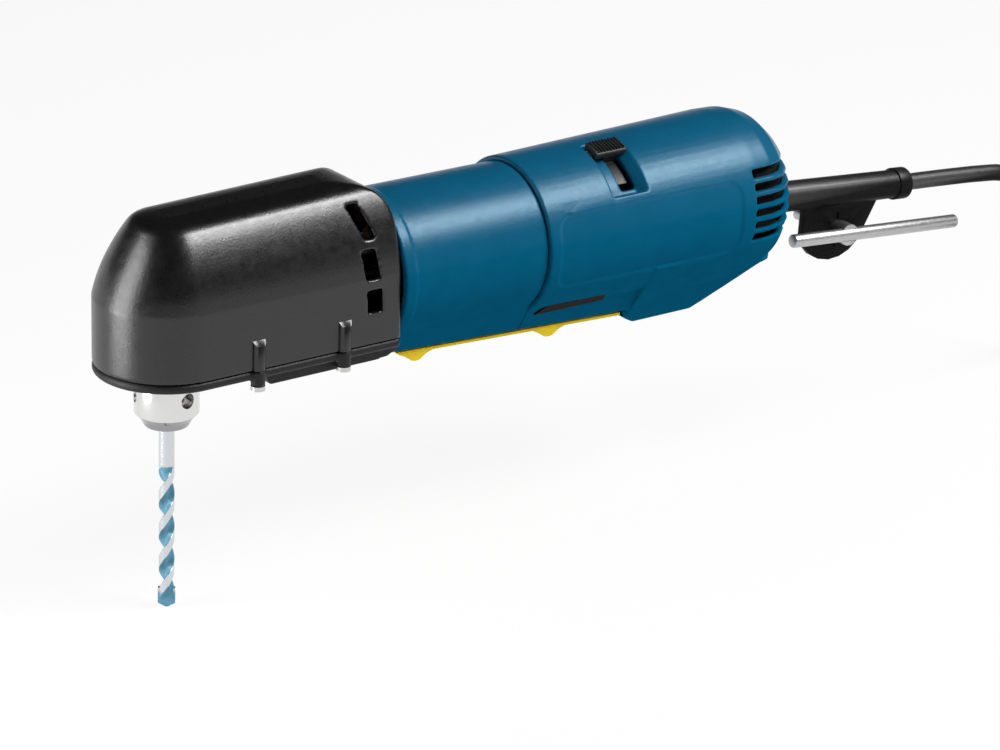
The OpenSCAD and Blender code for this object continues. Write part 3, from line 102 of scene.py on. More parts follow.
coil_start = (coil_x - cord_d, coil_y + coil_out_r, coil_z)
last_turn = coil_place(coil_turns)
coil_end = (coil_x - cord_d, last_turn[1], last_turn[2])
coil_route = [coil_place(n / coil_points) for n in range(int(coil_turns * coil_points) + 1)]
cord_line = [Vector(p) * mm for p in cord_route + [coil_start] + coil_route + [coil_end]]


def finish(name, colour, rough, metal=0.0, gloss=0.3):
    """A new finish with one colour and one roughness."""
    material = bpy.data.materials.new(name)
    material.use_nodes = True
    shader = material.node_tree.nodes["Principled BSDF"]
    shader.inputs["Base Color"].default_value = (*colour, 1)
    shader.inputs["Roughness"].default_value = rough
    shader.inputs["Metallic"].default_value = metal
    shader.inputs["Specular IOR Level"].default_value = gloss
    return material


def node_of(material, kind, **sockets):
    """One more node in a finish, with values on its sockets."""
    node = material.node_tree.nodes.new(kind)
    for socket, value in sockets.items():
        node.inputs[socket].default_value = value
    return node


def speckle(material, size, stretch=(1, 1, 1)):
    """Noise of a given grain size in millimetres, in the piece's own place."""
    links = material.node_tree.links
    where = node_of(material, "ShaderNodeTexCoord")
    turned = node_of(material, "ShaderNodeMapping", Scale=stretch)
    noise = node_of(material, "ShaderNodeTexNoise", Scale=1 / (size * mm), Detail=3.0, Roughness=0.6)
    links.new(where.outputs["Object"], turned.inputs["Vector"])
    links.new(turned.outputs["Vector"], noise.inputs["Vector"])
    return noise.outputs["Fac"]


def mottled(material, dark, light, size, low=0.35, high=0.65):
    """Lets the colour drift between two tones."""
    links = material.node_tree.links
    ramp = node_of(material, "ShaderNodeValToRGB")
    ramp.color_ramp.elements[0].position, ramp.color_ramp.elements[0].color = low, (*dark, 1)
    ramp.color_ramp.elements[1].position, ramp.color_ramp.elements[1].color = high, (*light, 1)
    links.new(speckle(material, size), ramp.inputs["Fac"])
    links.new(ramp.outputs["Color"], material.node_tree.nodes["Principled BSDF"].inputs["Base Color"])


def rubbed(material, low, high, size, stretch=(1, 1, 1)):
    """Lets the roughness drift, as on a handled surface."""
    links = material.node_tree.links
    span = node_of(material, "ShaderNodeMapRange")
    span.inputs["From Min"].default_value, span.inputs["From Max"].default_value = 0.3, 0.7
    span.inputs["To Min"].default_value, span.inputs["To Max"].default_value = low, high
    links.new(speckle(material, size, stretch), span.inputs["Value"])
    links.new(span.outputs["Result"], material.node_tree.nodes["Principled BSDF"].inputs["Roughness"])


def grained(material, size, depth, stretch=(1, 1, 1)):
    """Gives the surface a fine raised grain, in millimetres."""
    links = material.node_tree.links
    bump = node_of(material, "ShaderNodeBump", Strength=1.0, Distance=depth * mm)
    links.new(speckle(material, size, stretch), bump.inputs["Height"])
    links.new(bump.outputs["Normal"], material.node_tree.nodes["Principled BSDF"].inputs["Normal"])


def matt_below(material, low_z, high_z, least, most):
    """Lets the gloss of a moulding fade from one height in millimetres down to another."""
    links = material.node_tree.links
    where = node_of(material, "ShaderNodeTexCoord")
    split = node_of(material, "ShaderNodeSeparateXYZ")
    fade = node_of(material, "ShaderNodeMapRange")
    for socket, value in (("From Min", low_z * mm), ("From Max", high_z * mm), ("To Min", least), ("To Max", most)):
        fade.inputs[socket].default_value = value
    links.new(where.outputs["Object"], split.inputs["Vector"])
    links.new(split.outputs["Z"], fade.inputs["Value"])
    links.new(fade.outputs["Result"], material.node_tree.nodes["Principled BSDF"].inputs["Specular IOR Level"])


lead_rubber = finish("lead_rubber", (0.012, 0.012, 0.0125), 0.4)
mottled(lead_rubber, (0.01, 0.01, 0.0105), (0.016, 0.016, 0.0165), 3.0)
rubbed(lead_rubber, 0.36, 0.52, 1.2)
grained(lead_rubber, 0.5, 0.03)
matt_below(lead_rubber, -19, -16, 0.05, 1.0)
lead = bpy.data.curves.new("supply_cord", "CURVE")
lead.dimensions = "3D"
lead.bevel_depth = cord_d / 2 * mm
lead.bevel_resolution = 5
lead.resolution_u = 4
lead.use_fill_caps = True
spline = lead.splines.new("BEZIER")
spline.bezier_points.add(len(cord_line) - 1)
for point, p in zip(spline.bezier_points, cord_line):
    point.co = p
    point.handle_left_type = point.handle_right_type = "AUTO"
lead.materials.append(lead_rubber)
supply_cord = bpy.data.objects.new("supply_cord", lead)
scene.collection.objects.link(supply_cord)
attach(supply_cord, "root")
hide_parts("cord", "cord_coil")

# The tie and the plug: a woven strap round the coil, and a moulded two-pin plug
# with plated pins, which lies on top of the turns.


def painted(material, *nodes):
    """Gives CAD pieces a finish in place of the plain one."""
    for name in nodes:
        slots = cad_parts[name].data.materials
        slots.clear()
        slots.append(material)


strap_weave = finish("strap_weave", (0.02, 0.02, 0.02), 0.8)
grained(strap_weave, 0.4, 0.1)
painted(strap_weave, "cord_tie")
plug_rubber = finish("plug_rubber", (0.02, 0.02, 0.021), 0.5)
grained(plug_rubber, 0.5, 0.06)
painted(plug_rubber, "plug")
plated_pins = finish("plated_pins", (0.78, 0.78, 0.76), 0.2, metal=1.0)
rubbed(plated_pins, 0.15, 0.3, 1.0)
painted(plated_pins, "plug_pins")

# The studio: a white floor that the bit stands over, a long soft box over the near
# side, an upright panel close to the nose and a surround that darkens upwards.
studio_floor = finish("studio_floor", (0.9, 0.9, 0.9), 0.9, gloss=0.1)
floor_links = studio_floor.node_tree.links
seen = node_of(studio_floor, "ShaderNodeLightPath")
direct = node_of(studio_floor, "ShaderNodeMath")
direct.operation = "MAXIMUM"
through_clear = node_of(studio_floor, "ShaderNodeMath")
through_clear.operation = "MAXIMUM"
keep = node_of(studio_floor, "ShaderNodeMath")
keep.operation = "MULTIPLY"
keep.inputs[1].default_value = 0.9
paper = node_of(studio_floor, "ShaderNodeEmission", Strength=1.0)
join = node_of(studio_floor, "ShaderNodeMixShader")
floor_links.new(seen.outputs["Is Camera Ray"], direct.inputs[0])
floor_links.new(seen.outputs["Is Glossy Ray"], direct.inputs[1])
floor_links.new(direct.outputs["Value"], through_clear.inputs[0])
floor_links.new(seen.outputs["Is Transmission Ray"], through_clear.inputs[1])
floor_links.new(through_clear.outputs["Value"], keep.inputs[0])
floor_links.new(keep.outputs["Value"], join.inputs["Fac"])
floor_links.new(studio_floor.node_tree.nodes["Principled BSDF"].outputs["BSDF"], join.inputs[1])
floor_links.new(paper.outputs["Emission"], join.inputs[2])
floor_links.new(join.outputs["Shader"], studio_floor.node_tree.nodes["Material Output"].inputs["Surface"])
floor_mesh = bpy.data.meshes.new("studio_floor")
floor_half = 6.0
floor_mesh.from_pydata([(x, y, floor_z * mm) for x, y in ((-floor_half, -floor_half), (floor_half, -floor_half),
                                                         (floor_half, floor_half), (-floor_half, floor_half))],
                       [], [(0, 1, 2, 3)])
floor_mesh.materials.append(studio_floor)
floor = bpy.data.objects.new("studio_floor", floor_mesh)
scene.collection.objects.link(floor)
surround = bpy.data.worlds.new("surround")
scene.world = surround
surround.use_nodes = True
air = surround.node_tree.nodes
wires = surround.node_tree.links
aim = air.new("ShaderNodeTexCoord")
height = air.new("ShaderNodeSeparateXYZ")
wall = air.new("ShaderNodeMapRange")
for socket, value in (("From Min", 0.04), ("From Max", 0.13), ("To Min", 1.0), ("To Max", 0.02)):
    wall.inputs[socket].default_value = value
wires.new(aim.outputs["Generated"], height.inputs["Vector"])
wires.new(height.outputs["Z"], wall.inputs["Value"])
wires.new(wall.outputs["Result"], air["Background"].inputs["Strength"])
air["Background"].inputs["Color"].default_value = (1, 1, 1, 1)
scene.view_settings.view_transform = "Standard"


def soft_lamp(name, place, aim, size, watts):
    """A soft box that the camera doesn't see, turned to a place."""
    lamp = bpy.data.lights.new(name, "AREA")
    lamp.shape, lamp.size, lamp.size_y, lamp.energy = "RECTANGLE", size[0], size[1], watts
    held = bpy.data.objects.new(name, lamp)
    scene.collection.objects.link(held)
    held.location = place
    held.visible_camera = False
    held.rotation_mode = "QUATERNION"
    held.rotation_quaternion = (Vector(aim) - Vector(place)).to_track_quat("-Z", "Y")


soft_lamp("near_box", (0.7, -0.66, 1.06), (0.02, 0, 0), (0.9, 0.46), 25.0)
soft_lamp("nose_strip", (-0.4, 0.06, 0.05), (-0.13, 0, 0.03), (0.16, 0.34), 1.3)

# The gear head's cover: a loaf-shaped moulding in black glass-filled nylon with a fine
# spark-eroded texture, held down by four screws from below.


def shaped(name, points, faces):
    """A new object from points in millimetres, with its faces turned outwards."""
    mesh = bpy.data.meshes.new(name)
    mesh.from_pydata([at(*p) for p in points], [], faces)
    shape = bmesh.new()
    shape.from_mesh(mesh)
    bmesh.ops.recalc_face_normals(shape, faces=shape.faces)
    shape.to_mesh(mesh)
    shape.free()
    piece = bpy.data.objects.new(name, mesh)
    scene.collection.objects.link(piece)
    return piece


def lofted(name, rings):
    """A closed skin over rings that have the same number of points."""
    n = len(rings[0])
    points = [p for ring in rings for p in ring]
    faces = [(i * n + k, i * n + (k + 1) % n, (i + 1) * n + (k + 1) % n, (i + 1) * n + k)
             for i in range(len(rings) - 1) for k in range(n)]
    return shaped(name, points, faces + [tuple(range(n - 1, -1, -1)),
                                         tuple(range((len(rings) - 1) * n, len(rings) * n))])


def settled(piece, material, corner=None):
    """Turns a piece and its modifiers into a plain smooth mesh with one finish."""
    mesh = bpy.data.meshes.new_from_object(piece.evaluated_get(bpy.context.evaluated_depsgraph_get()))
    old = piece.data
    piece.modifiers.clear()
    piece.data = mesh
    bpy.data.meshes.remove(old)
    mesh.materials.clear()
    mesh.materials.append(material)
    mesh.shade_smooth()
    if corner:
        mesh.set_sharp_from_angle(angle=math.radians(corner))
    mesh.name = piece.name
    return piece


def worked(piece, how, *tools):
    """Joins other shapes to a piece or cuts it with them, and takes them away."""
    for tool in tools:
        step = piece.modifiers.new(how.lower(), "BOOLEAN")
        step.operation, step.solver, step.object = how, "EXACT", tool
    mesh = bpy.data.meshes.new_from_object(piece.evaluated_get(bpy.context.evaluated_depsgraph_get()))
    piece.modifiers.clear()
    old, piece.data = piece.data, mesh
    for used in [old] + [tool.data for tool in tools]:
        bpy.data.meshes.remove(used)
    return piece


def moulded(piece, material, grid, rounds, most=195000):
    """Rounds every edge of a closed shape as a mould does, by laying a fine grid over it."""
    wrap = piece.modifiers.new("wrap", "REMESH")
    wrap.mode, wrap.voxel_size, wrap.adaptivity = "VOXEL", grid * mm, 0.0
    soften = piece.modifiers.new("soften", "SMOOTH")
    soften.factor, soften.iterations = 0.5, rounds
    settled(piece, material)
    count = sum(len(p.vertices) - 2 for p in piece.data.polygons)
    if count > most:
        thin = piece.modifiers.new("thin", "DECIMATE")
        thin.ratio = most / count
        settled(piece, material)
    return piece


def fitted(piece, body, slot, *nodes):
    """Hangs a finished piece on its body in place of CAD pieces."""
    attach(piece, body)
    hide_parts(*nodes)


head_r, head_back, head_foot, wall_top, roof_top = 28, 88, 3.8, 30, 61.6
roof_in, roof_cut, roof_lean, head_wall, back_corner = 23, 21, math.radians(1.7), 2.6, 2
roll_line = [(0, 0, 0, 0), (0.2, 0.06, 0.08, 0), (0.4, 0.15, 0.19, 0), (0.58, 0.26, 0.32, 0),
             (0.74, 0.38, 0.45, 0.06), (0.85, 0.48, 0.55, 0.18), (0.91, 0.55, 0.61, 0.32),
             (0.955, 0.65, 0.68, 0.5), (0.985, 0.81, 0.82, 0.75), (1, 1, 1, 1)]
boss_spots = [(x, side * 27.4) for x in (23, 61.5) for side in (-1, 1)]
vent_shapes = [(72.6, 44.6, 5.0, 13, 5.0), (71.3, 29.6, 6.4, 11.4, 1.2), (72.0, 16.4, 6.8, 9.3, 0.4)]


def smooth_line(points, steps):
    """A line without corners through given points."""
    ends = [points[0]] + points + [points[-1]]
    line = []
    for a, b, c, d in zip(ends, ends[1:], ends[2:], ends[3:]):
        for i in range(steps):
            t = i / steps
            line.append(tuple(0.5 * (2 * q + (r - p) * t + (2 * p - 5 * q + 4 * r - s) * t * t
                                     + (3 * q - p - 3 * r + s) * t ** 3) for p, q, r, s in zip(a, b, c, d)))
    return line + [points[-1]]


def loaf_ring(r, nose, back, corner):
    """The head's outline: a round nose, straight sides and a back with rounded corners."""
    c = min(corner, 0.8 * r)
    near = [(back, (c - r) * i / 6) for i in range(6)]
    near += [(back - c + c * math.cos(a), c - r - c * math.sin(a)) for a in (math.pi / 12 * i for i in range(6))]
    near += [((back - c) * (1 - i / 20), -r) for i in range(20)]
    near += [(-nose * math.sin(a), -r * math.cos(a)) for a in (math.pi / 40 * i for i in range(21))]
    return near + [(x, -y) for x, y in near[-2:0:-1]]


def loaf(name, skin, foot, back, corner):
    """The head's whole form, or with a skin the hollow in it."""
    rings = [[(x, y, z) for x, y in loaf_ring(head_r - skin - inset, head_r - skin - inset, back, corner)]
             for z, inset in ((foot, 0.2 if not skin else 0), (foot + 0.3, 0), (14, 0), (22, 0), (28, 0))]
    for rise, inset, nose_in, cut in smooth_line(roll_line, 4):
        z = wall_top + rise * (roof_top - skin - wall_top)
        rings.append([(x, y, z + x * math.sin(rise * roof_lean)) for x, y in
                      loaf_ring(head_r - skin - inset * roof_in, head_r - skin - nose_in * roof_in,
                                back - cut * roof_cut, corner)])
    return lofted(name, rings)


def upright_pin(name, x, y, profile, sides=28, slant=0):
    """A turned shape on an upright axis, from radius and height, its top falling away along Y."""
    rings = [[(x + r * math.cos(a), y + r * math.sin(a), z) for a in
              (2 * math.pi * k / sides for k in range(sides))] for r, z in profile]
    rings[-1] = [(px, py, pz - slant * (py - y)) for px, py, pz in rings[-1]]
    return lofted(name, rings)


def joined(piece, *others):
    """Adds whole shapes to a piece without cutting them together."""
    shape = bmesh.new()
    for part in (piece, *others):
        shape.from_mesh(part.data)
    shape.to_mesh(piece.data)
    shape.free()
    for part in others:
        bpy.data.meshes.remove(part.data)
    return piece


def vent_prism(name, x, z, w, h, lean, side):
    """The cutter for one leaning vent in a side wall."""
    ends = [[(x, z), (x + w, z), (x + w - lean, z + h), (x - lean, z + h)]] * 2
    return lofted(name, [[(px, side * y, pz) for px, pz in end] for end, y in zip(ends, (14, 34))])


head_nylon = finish("head_nylon", (0.004, 0.004, 0.0041), 0.3, gloss=0.65)
mottled(head_nylon, (0.003, 0.003, 0.0031), (0.005, 0.005, 0.0052), 0.6)
rubbed(head_nylon, 0.26, 0.34, 4.0)
grained(head_nylon, 0.9, 0.05)
head_cover = loaf("gear_head_cover", 0, head_foot, head_back, back_corner)
worked(head_cover, "DIFFERENCE", loaf("hollow", head_wall, head_foot - 1, head_back + 1, 1.5),
       *[vent_prism("vent", *vent, side) for vent in vent_shapes for side in (-1, 1)])
moulded(head_cover, head_nylon, 0.68, 3, most=190000)
joined(head_cover, *[upright_pin("boss", x, y, [(2.8, head_foot + 0.2), (2.8, 16.4)], 40, math.copysign(1.1, y))
                     for x, y in boss_spots])
settled(head_cover, head_nylon, corner=50)
fitted(head_cover, "root", "black_plastic", "head_cover")

# The head's base: the lower tray of the same nylon, with a thicker block behind the
# chuck and half-round bosses that take the screws.
block_front, block_half, block_deep = 29, 23.5, 5.4
block_line = [(0, 0.3), (0.04, 1), (0.83, 0.97), (0.93, 0.88), (1, 0.6)]
rim_line = [(0, 0.9), (0.4, 0.3), (1, 0), (2.4, 0), (3.2, 0.5), (head_foot, 1.5)]
head_base = lofted("gear_head_base", [
    [(x, y, z) for x, y in loaf_ring(head_r - inset, head_r - inset, head_back, back_corner)] for z, inset in rim_line])
block_rim = [(block_front + x * (head_back - block_front), -z * block_deep) for x, z in block_line]
block_rim = [(block_front, 2)] + block_rim + [(head_back, 2)]
worked(head_base, "UNION", lofted("block", [[(x, y, z) for x, z in block_rim] for y in (-block_half, block_half)]),
       *[upright_pin("boss", x, y, [(2.5, -2.4), (2.8, -2), (2.8, head_foot)]) for x, y in boss_spots])
worked(head_base, "DIFFERENCE", upright_pin("hole", 0, 0, [(17, -1), (17, 6)], 64))
base_nylon = finish("base_nylon", (0.004, 0.004, 0.0041), 0.52, gloss=0.4)
rubbed(base_nylon, 0.46, 0.6, 1.2)
grained(base_nylon, 0.9, 0.05)
moulded(head_base, base_nylon, 0.5, 4)
fitted(head_base, "root", "black_plastic", "head_base")

# The head's screws: four turned screws of zinc-plated steel with slotted heads, driven
# up through the bosses of the base into the cover.


def grown(name, material, places, build, **sizes):
    """Lets a node tree with named sizes make a mesh at given places, and keeps the plain mesh."""
    tree = bpy.data.node_groups.new(name, "GeometryNodeTree")
    tree.interface.new_socket("Geometry", in_out="INPUT", socket_type="NodeSocketGeometry")
    tree.interface.new_socket("Geometry", in_out="OUTPUT", socket_type="NodeSocketGeometry")
    names = {size: tree.interface.new_socket(size.replace("_", " ").title(), in_out="INPUT",
                                             socket_type="NodeSocketFloat").identifier for size in sizes}
    start, end = tree.nodes.new("NodeGroupInput"), tree.nodes.new("NodeGroupOutput")
    real, coat = tree.nodes.new("GeometryNodeRealizeInstances"), tree.nodes.new("GeometryNodeSetMaterial")
    coat.inputs["Material"].default_value = material
    size_of = {size: start.outputs[size.replace("_", " ").title()] for size in sizes}
    tree.links.new(build(tree, start.outputs["Geometry"], size_of), real.inputs["Geometry"])
    tree.links.new(real.outputs["Geometry"], coat.inputs["Geometry"])
    tree.links.new(coat.outputs["Geometry"], end.inputs["Geometry"])
    mesh = bpy.data.meshes.new(name)
    mesh.from_pydata(places, [], [])
    piece = bpy.data.objects.new(name, mesh)
    scene.collection.objects.link(piece)
    grow = piece.modifiers.new(name, "NODES")
    grow.node_group = tree
    for size, value in sizes.items():
        grow[names[size]] = value
    return settled(piece, material, corner=35)


def tree_node(tree, kind, settings=(), **links):
    """One node of a tree, its sockets joined to others or set to a value."""
    node = tree.nodes.new(kind)
    for name, value in settings:
        setattr(node, name, value)
    for name, value in links.items():
        socket = node.inputs[name.replace("_", " ")]
        if isinstance(value, bpy.types.NodeSocket):
            tree.links.new(value, socket)
        else:
            socket.default_value = value
    return node


def screw_tree(tree, spots, size):
    """A round head with a straight slot and its shank, pointing up, at every spot."""
    head = tree_node(tree, "GeometryNodeMeshCylinder", Vertices=28, Radius=size["head_radius"],
                     Depth=size["head_height"])
    half = tree_node(tree, "ShaderNodeMath", [("operation", "MULTIPLY")])
    tree.links.new(size["head_height"], half.inputs[0])
    half.inputs[1].default_value = -0.5
    under = tree_node(tree, "ShaderNodeCombineXYZ", Z=half.outputs["Value"])
    lowered = tree_node(tree, "GeometryNodeTransform", Geometry=head.outputs["Mesh"],
                        Translation=under.outputs["Vector"])
    long = tree_node(tree, "ShaderNodeMath", [("operation", "MULTIPLY")])
    tree.links.new(size["head_radius"], long.inputs[0])
    long.inputs[1].default_value = 3.0
    bar = tree_node(tree, "ShaderNodeCombineXYZ", X=long.outputs["Value"], Y=size["slot_width"],
                    Z=size["head_height"])
    slot = tree_node(tree, "GeometryNodeMeshCube", Size=bar.outputs["Vector"])
    deep = tree_node(tree, "ShaderNodeMath", [("operation", "MULTIPLY")])
    tree.links.new(size["head_height"], deep.inputs[0])
    deep.inputs[1].default_value = -1.05
    low = tree_node(tree, "ShaderNodeCombineXYZ", Z=deep.outputs["Value"])
    cutter = tree_node(tree, "GeometryNodeTransform", Geometry=slot.outputs["Mesh"],
                       Translation=low.outputs["Vector"])
    slotted = tree_node(tree, "GeometryNodeMeshBoolean", [("operation", "DIFFERENCE")])
    tree.links.new(lowered.outputs["Geometry"], slotted.inputs["Mesh 1"])
    tree.links.new(cutter.outputs["Geometry"], slotted.inputs["Mesh 2"])
    shank = tree_node(tree, "GeometryNodeMeshCylinder", Vertices=20, Radius=size["shank_radius"],
                      Depth=size["shank_length"])
    mid = tree_node(tree, "ShaderNodeMath", [("operation", "MULTIPLY")])
    tree.links.new(size["shank_length"], mid.inputs[0])
    mid.inputs[1].default_value = 0.5
    lift = tree_node(tree, "ShaderNodeCombineXYZ", Z=mid.outputs["Value"])
    raised = tree_node(tree, "GeometryNodeTransform", Geometry=shank.outputs["Mesh"],
                       Translation=lift.outputs["Vector"])
    both = tree.nodes.new("GeometryNodeJoinGeometry")
    tree.links.new(slotted.outputs["Mesh"], both.inputs["Geometry"])
    tree.links.new(raised.outputs["Geometry"], both.inputs["Geometry"])
    dots = tree_node(tree, "GeometryNodeMeshToPoints", Mesh=spots)
    return tree_node(tree, "GeometryNodeInstanceOnPoints", Points=dots.outputs["Points"],
                     Instance=both.outputs["Geometry"]).outputs["Instances"]


screw_zinc = finish("screw_zinc", (0.62, 0.62, 0.61), 0.3, metal=1.0)
rubbed(screw_zinc, 0.22, 0.4, 0.8)
head_screws = grown("gear_head_screws", screw_zinc, [at(x, y, -2.4) for x, y in boss_spots], screw_tree,
                    head_radius=2.8 * mm, head_height=1.8 * mm, slot_width=0.9 * mm, shank_radius=1.5 * mm,
                    shank_length=15.9 * mm)
fitted(head_screws, "root", "steel", "head_screws")

# Inside the head: the cast aluminium case and plate, with the cut and hardened gears
# on their shafts and the ball bearings pressed in round them.
# Painted shade: the case and plate are coloured far darker than cast aluminium, so the view through the head's vents
# stays dark as the shade inside would make it.
cast_case_painted_shade = finish("cast_case_painted_shade", (0.16, 0.15, 0.14), 0.5, metal=1.0)
rubbed(cast_case_painted_shade, 0.4, 0.65, 1.5)
grained(cast_case_painted_shade, 0.8, 0.05)
painted(cast_case_painted_shade, "gear_case", "bearing_plate")
gear_steel = finish("gear_steel", (0.36, 0.36, 0.37), 0.35, metal=1.0)
rubbed(gear_steel, 0.28, 0.45, 1.0)
painted(gear_steel, "spindle", "crown_gear", "layshaft", "spur_gear")
bearing_steel = finish("bearing_steel", (0.6, 0.6, 0.6), 0.25, metal=1.0)
rubbed(bearing_steel, 0.18, 0.32, 1.0)
painted(bearing_steel, "spindle_lower_bearing", "spindle_upper_bearing", "layshaft_front_bearing",
        "layshaft_rear_bearing", "motor_front_bearing", "motor_rear_bearing")

# The chuck: turned and polished steel, a body with three key holes, a toothed collar that
# the key turns and three ground jaws.


def cad_copy(name, *nodes):
    """A merged copy of CAD pieces as one new object, ready to be reworked."""
    shape = bmesh.new()
    for node in nodes:
        shape.from_mesh(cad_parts[node].data)
    bmesh.ops.remove_doubles(shape, verts=shape.verts, dist=0.002 * mm)
    bmesh.ops.recalc_face_normals(shape, faces=shape.faces)
    mesh = bpy.data.meshes.new(name)
    shape.to_mesh(mesh)
    shape.free()
    copy = bpy.data.objects.new(name, mesh)
    scene.collection.objects.link(copy)
    return copy


def trimmed(piece, material, width, corner=40, segments=2):
    """Breaks the sharp edges of a machined or pressed shape with a small bevel."""
    shape = bmesh.new()
    shape.from_mesh(piece.data)
    bmesh.ops.dissolve_limit(shape, angle_limit=math.radians(0.5), verts=shape.verts, edges=shape.edges)
    shape.to_mesh(piece.data)
    shape.free()
    edge = piece.modifiers.new("edge", "BEVEL")
    edge.width, edge.segments = width * mm, segments
    edge.limit_method, edge.angle_limit = "ANGLE", math.radians(corner)
    edge.use_clamp_overlap = True
    return settled(piece, material, corner=30)


chuck_steel = finish("chuck_steel", (0.7, 0.69, 0.68), 0.16, metal=1.0)
rubbed(chuck_steel, 0.1, 0.2, 0.5, stretch=(1, 1, 8))
grained(chuck_steel, 0.3, 0.004, stretch=(0.2, 0.2, 6))
# Painted shade: the cone under the chuck gets a darker grey by height, standing in for the dimmer reflection on its
# downward face; the barrel above keeps the bright steel.
cone_top, cone_painted_shade, barrel_grey = -17.2, (0.32, 0.32, 0.33, 1), (0.72, 0.715, 0.71, 1)
chuck_place = node_of(chuck_steel, "ShaderNodeSeparateXYZ")
cone_shade_edge = node_of(chuck_steel, "ShaderNodeMapRange")
for socket, edge_z in (("From Min", cone_top - 0.4), ("From Max", cone_top)):
    cone_shade_edge.inputs[socket].default_value = at(0, 0, edge_z).z
turned = node_of(chuck_steel, "ShaderNodeMix")
turned.data_type = "RGBA"
turned.inputs["A"].default_value, turned.inputs["B"].default_value = cone_painted_shade, barrel_grey
for start, end in ((node_of(chuck_steel, "ShaderNodeTexCoord").outputs["Object"], chuck_place.inputs["Vector"]),
                   (chuck_place.outputs["Z"], cone_shade_edge.inputs["Value"]),
                   (cone_shade_edge.outputs["Result"], turned.inputs["Factor"]),
                   (turned.outputs["Result"], chuck_steel.node_tree.nodes["Principled BSDF"].inputs["Base Color"])):
    chuck_steel.node_tree.links.new(start, end)
chuck_body = trimmed(cad_copy("chuck_shell", "chuck_body"), chuck_steel, 0.3)
fitted(chuck_body, "spindle", "steel", "chuck_body")
chuck_collar = trimmed(cad_copy("chuck_collar", "chuck_sleeve"), chuck_steel, 0.3)
fitted(chuck_collar, "chuck_sleeve", "steel", "chuck_sleeve")
painted(gear_steel, "chuck_jaw_a", "chuck_jaw_b", "chuck_jaw_c")

# The bit: a six millimetre masonry drill, rolled steel with blue paint in its flutes,
# bright ground lands and a brazed hard tip.
bit_r, bit_foot, bit_head, flute_top, flute_lead = 3, -98.2, 1.8, -38.2, 27
flute_r, flute_at, flute_lag, tip_high, tip_turn = 2.35, 2.95, 6, 8, math.radians(-36)


def fluted(angle):
    """The bit's radius at an angle from the middle of a flute."""
    a = math.asin(abs(math.sin(angle)))
    inside = flute_r ** 2 - (flute_at * math.sin(a)) ** 2
    if inside <= 0:
        return bit_r
    return min(bit_r, flute_at * math.cos(a) - math.sqrt(inside))


def bit_ring(z, share, twist):
    """One section of the bit, from round at share 0 to fully fluted at share 1."""
    ring = []
    for k in range(72):
        a = 2 * math.pi * k / 72
        r = bit_r + share * (fluted(a - twist) - bit_r)
        ring.append((r * math.cos(a), r * math.sin(a), z))
    return ring


bit_rings = [bit_ring(bit_head, 0, 0), bit_ring(bit_head - 0.3, 0, 0), bit_ring(flute_top, 0, 0)]
flute_run = flute_top - bit_foot - tip_high / 2
for step in range(1, 141):
    down = flute_run * step / 140
    bit_rings.append(bit_ring(flute_top - down, eased(down / 9), 2 * math.pi * (flute_lag - down) / flute_lead))
drill_bit = lofted("masonry_bit", bit_rings)
tip_end, tip_low = [[(x * math.cos(tip_turn) - y * math.sin(tip_turn),
                      x * math.sin(tip_turn) + y * math.cos(tip_turn))
                     for x, y in ((-long, -thick), (long, -thick), (long, thick), (-long, thick))]
                    for long, thick in ((3.3, 1), (0.5, 0.3))]
hard_tip = lofted("hard_tip", [[(x, y, bit_foot + tip_high) for x, y in tip_end],
                               [(x, y, bit_foot + 1.8) for x, y in tip_end],
                               [(x, y, bit_foot) for x, y in tip_low]])
worked(drill_bit, "UNION", hard_tip)
bit_steel = finish("bit_steel", (0.8, 0.8, 0.8), 0.25, metal=1.0)
bit_links = bit_steel.node_tree.links
bit_shader = bit_steel.node_tree.nodes["Principled BSDF"]
spot = node_of(bit_steel, "ShaderNodeTexCoord")
shift = node_of(bit_steel, "ShaderNodeMapping", Location=tuple(-at(0, 0, 0)))
parts = node_of(bit_steel, "ShaderNodeSeparateXYZ")
flat = node_of(bit_steel, "ShaderNodeCombineXYZ")
off_axis = node_of(bit_steel, "ShaderNodeVectorMath")
off_axis.operation = "LENGTH"
sunk = node_of(bit_steel, "ShaderNodeMapRange")
for socket, value in (("From Min", 2.86 * mm), ("From Max", 2.96 * mm), ("To Min", 1.0), ("To Max", 0.0)):
    sunk.inputs[socket].default_value = value
ended = node_of(bit_steel, "ShaderNodeMapRange")
for socket, value in (("From Min", (bit_foot + 6) * mm), ("From Max", (bit_foot + 7.5) * mm), ("To Min", 1.0),
                      ("To Max", 0.0)):
    ended.inputs[socket].default_value = value
blue_share = node_of(bit_steel, "ShaderNodeMath")
blue_share.operation = "MAXIMUM"
bare = node_of(bit_steel, "ShaderNodeMath")
bare.operation = "SUBTRACT"
bare.inputs[0].default_value = 1.0
tint = node_of(bit_steel, "ShaderNodeMix")
tint.data_type = "RGBA"
tint.inputs["A"].default_value = (0.66, 0.69, 0.71, 1)
tint.inputs["B"].default_value = (0.11, 0.3, 0.42, 1)
bit_links.new(spot.outputs["Object"], shift.inputs["Vector"])
bit_links.new(shift.outputs["Vector"], parts.inputs["Vector"])
bit_links.new(parts.outputs["X"], flat.inputs["X"])
bit_links.new(parts.outputs["Y"], flat.inputs["Y"])
bit_links.new(flat.outputs["Vector"], off_axis.inputs[0])
bit_links.new(off_axis.outputs["Value"], sunk.inputs["Value"])
bit_links.new(parts.outputs["Z"], ended.inputs["Value"])
bit_links.new(sunk.outputs["Result"], blue_share.inputs[0])
bit_links.new(ended.outputs["Result"], blue_share.inputs[1])
bit_links.new(blue_share.outputs["Value"], tint.inputs["Factor"])
bit_links.new(tint.outputs["Result"], bit_shader.inputs["Base Color"])
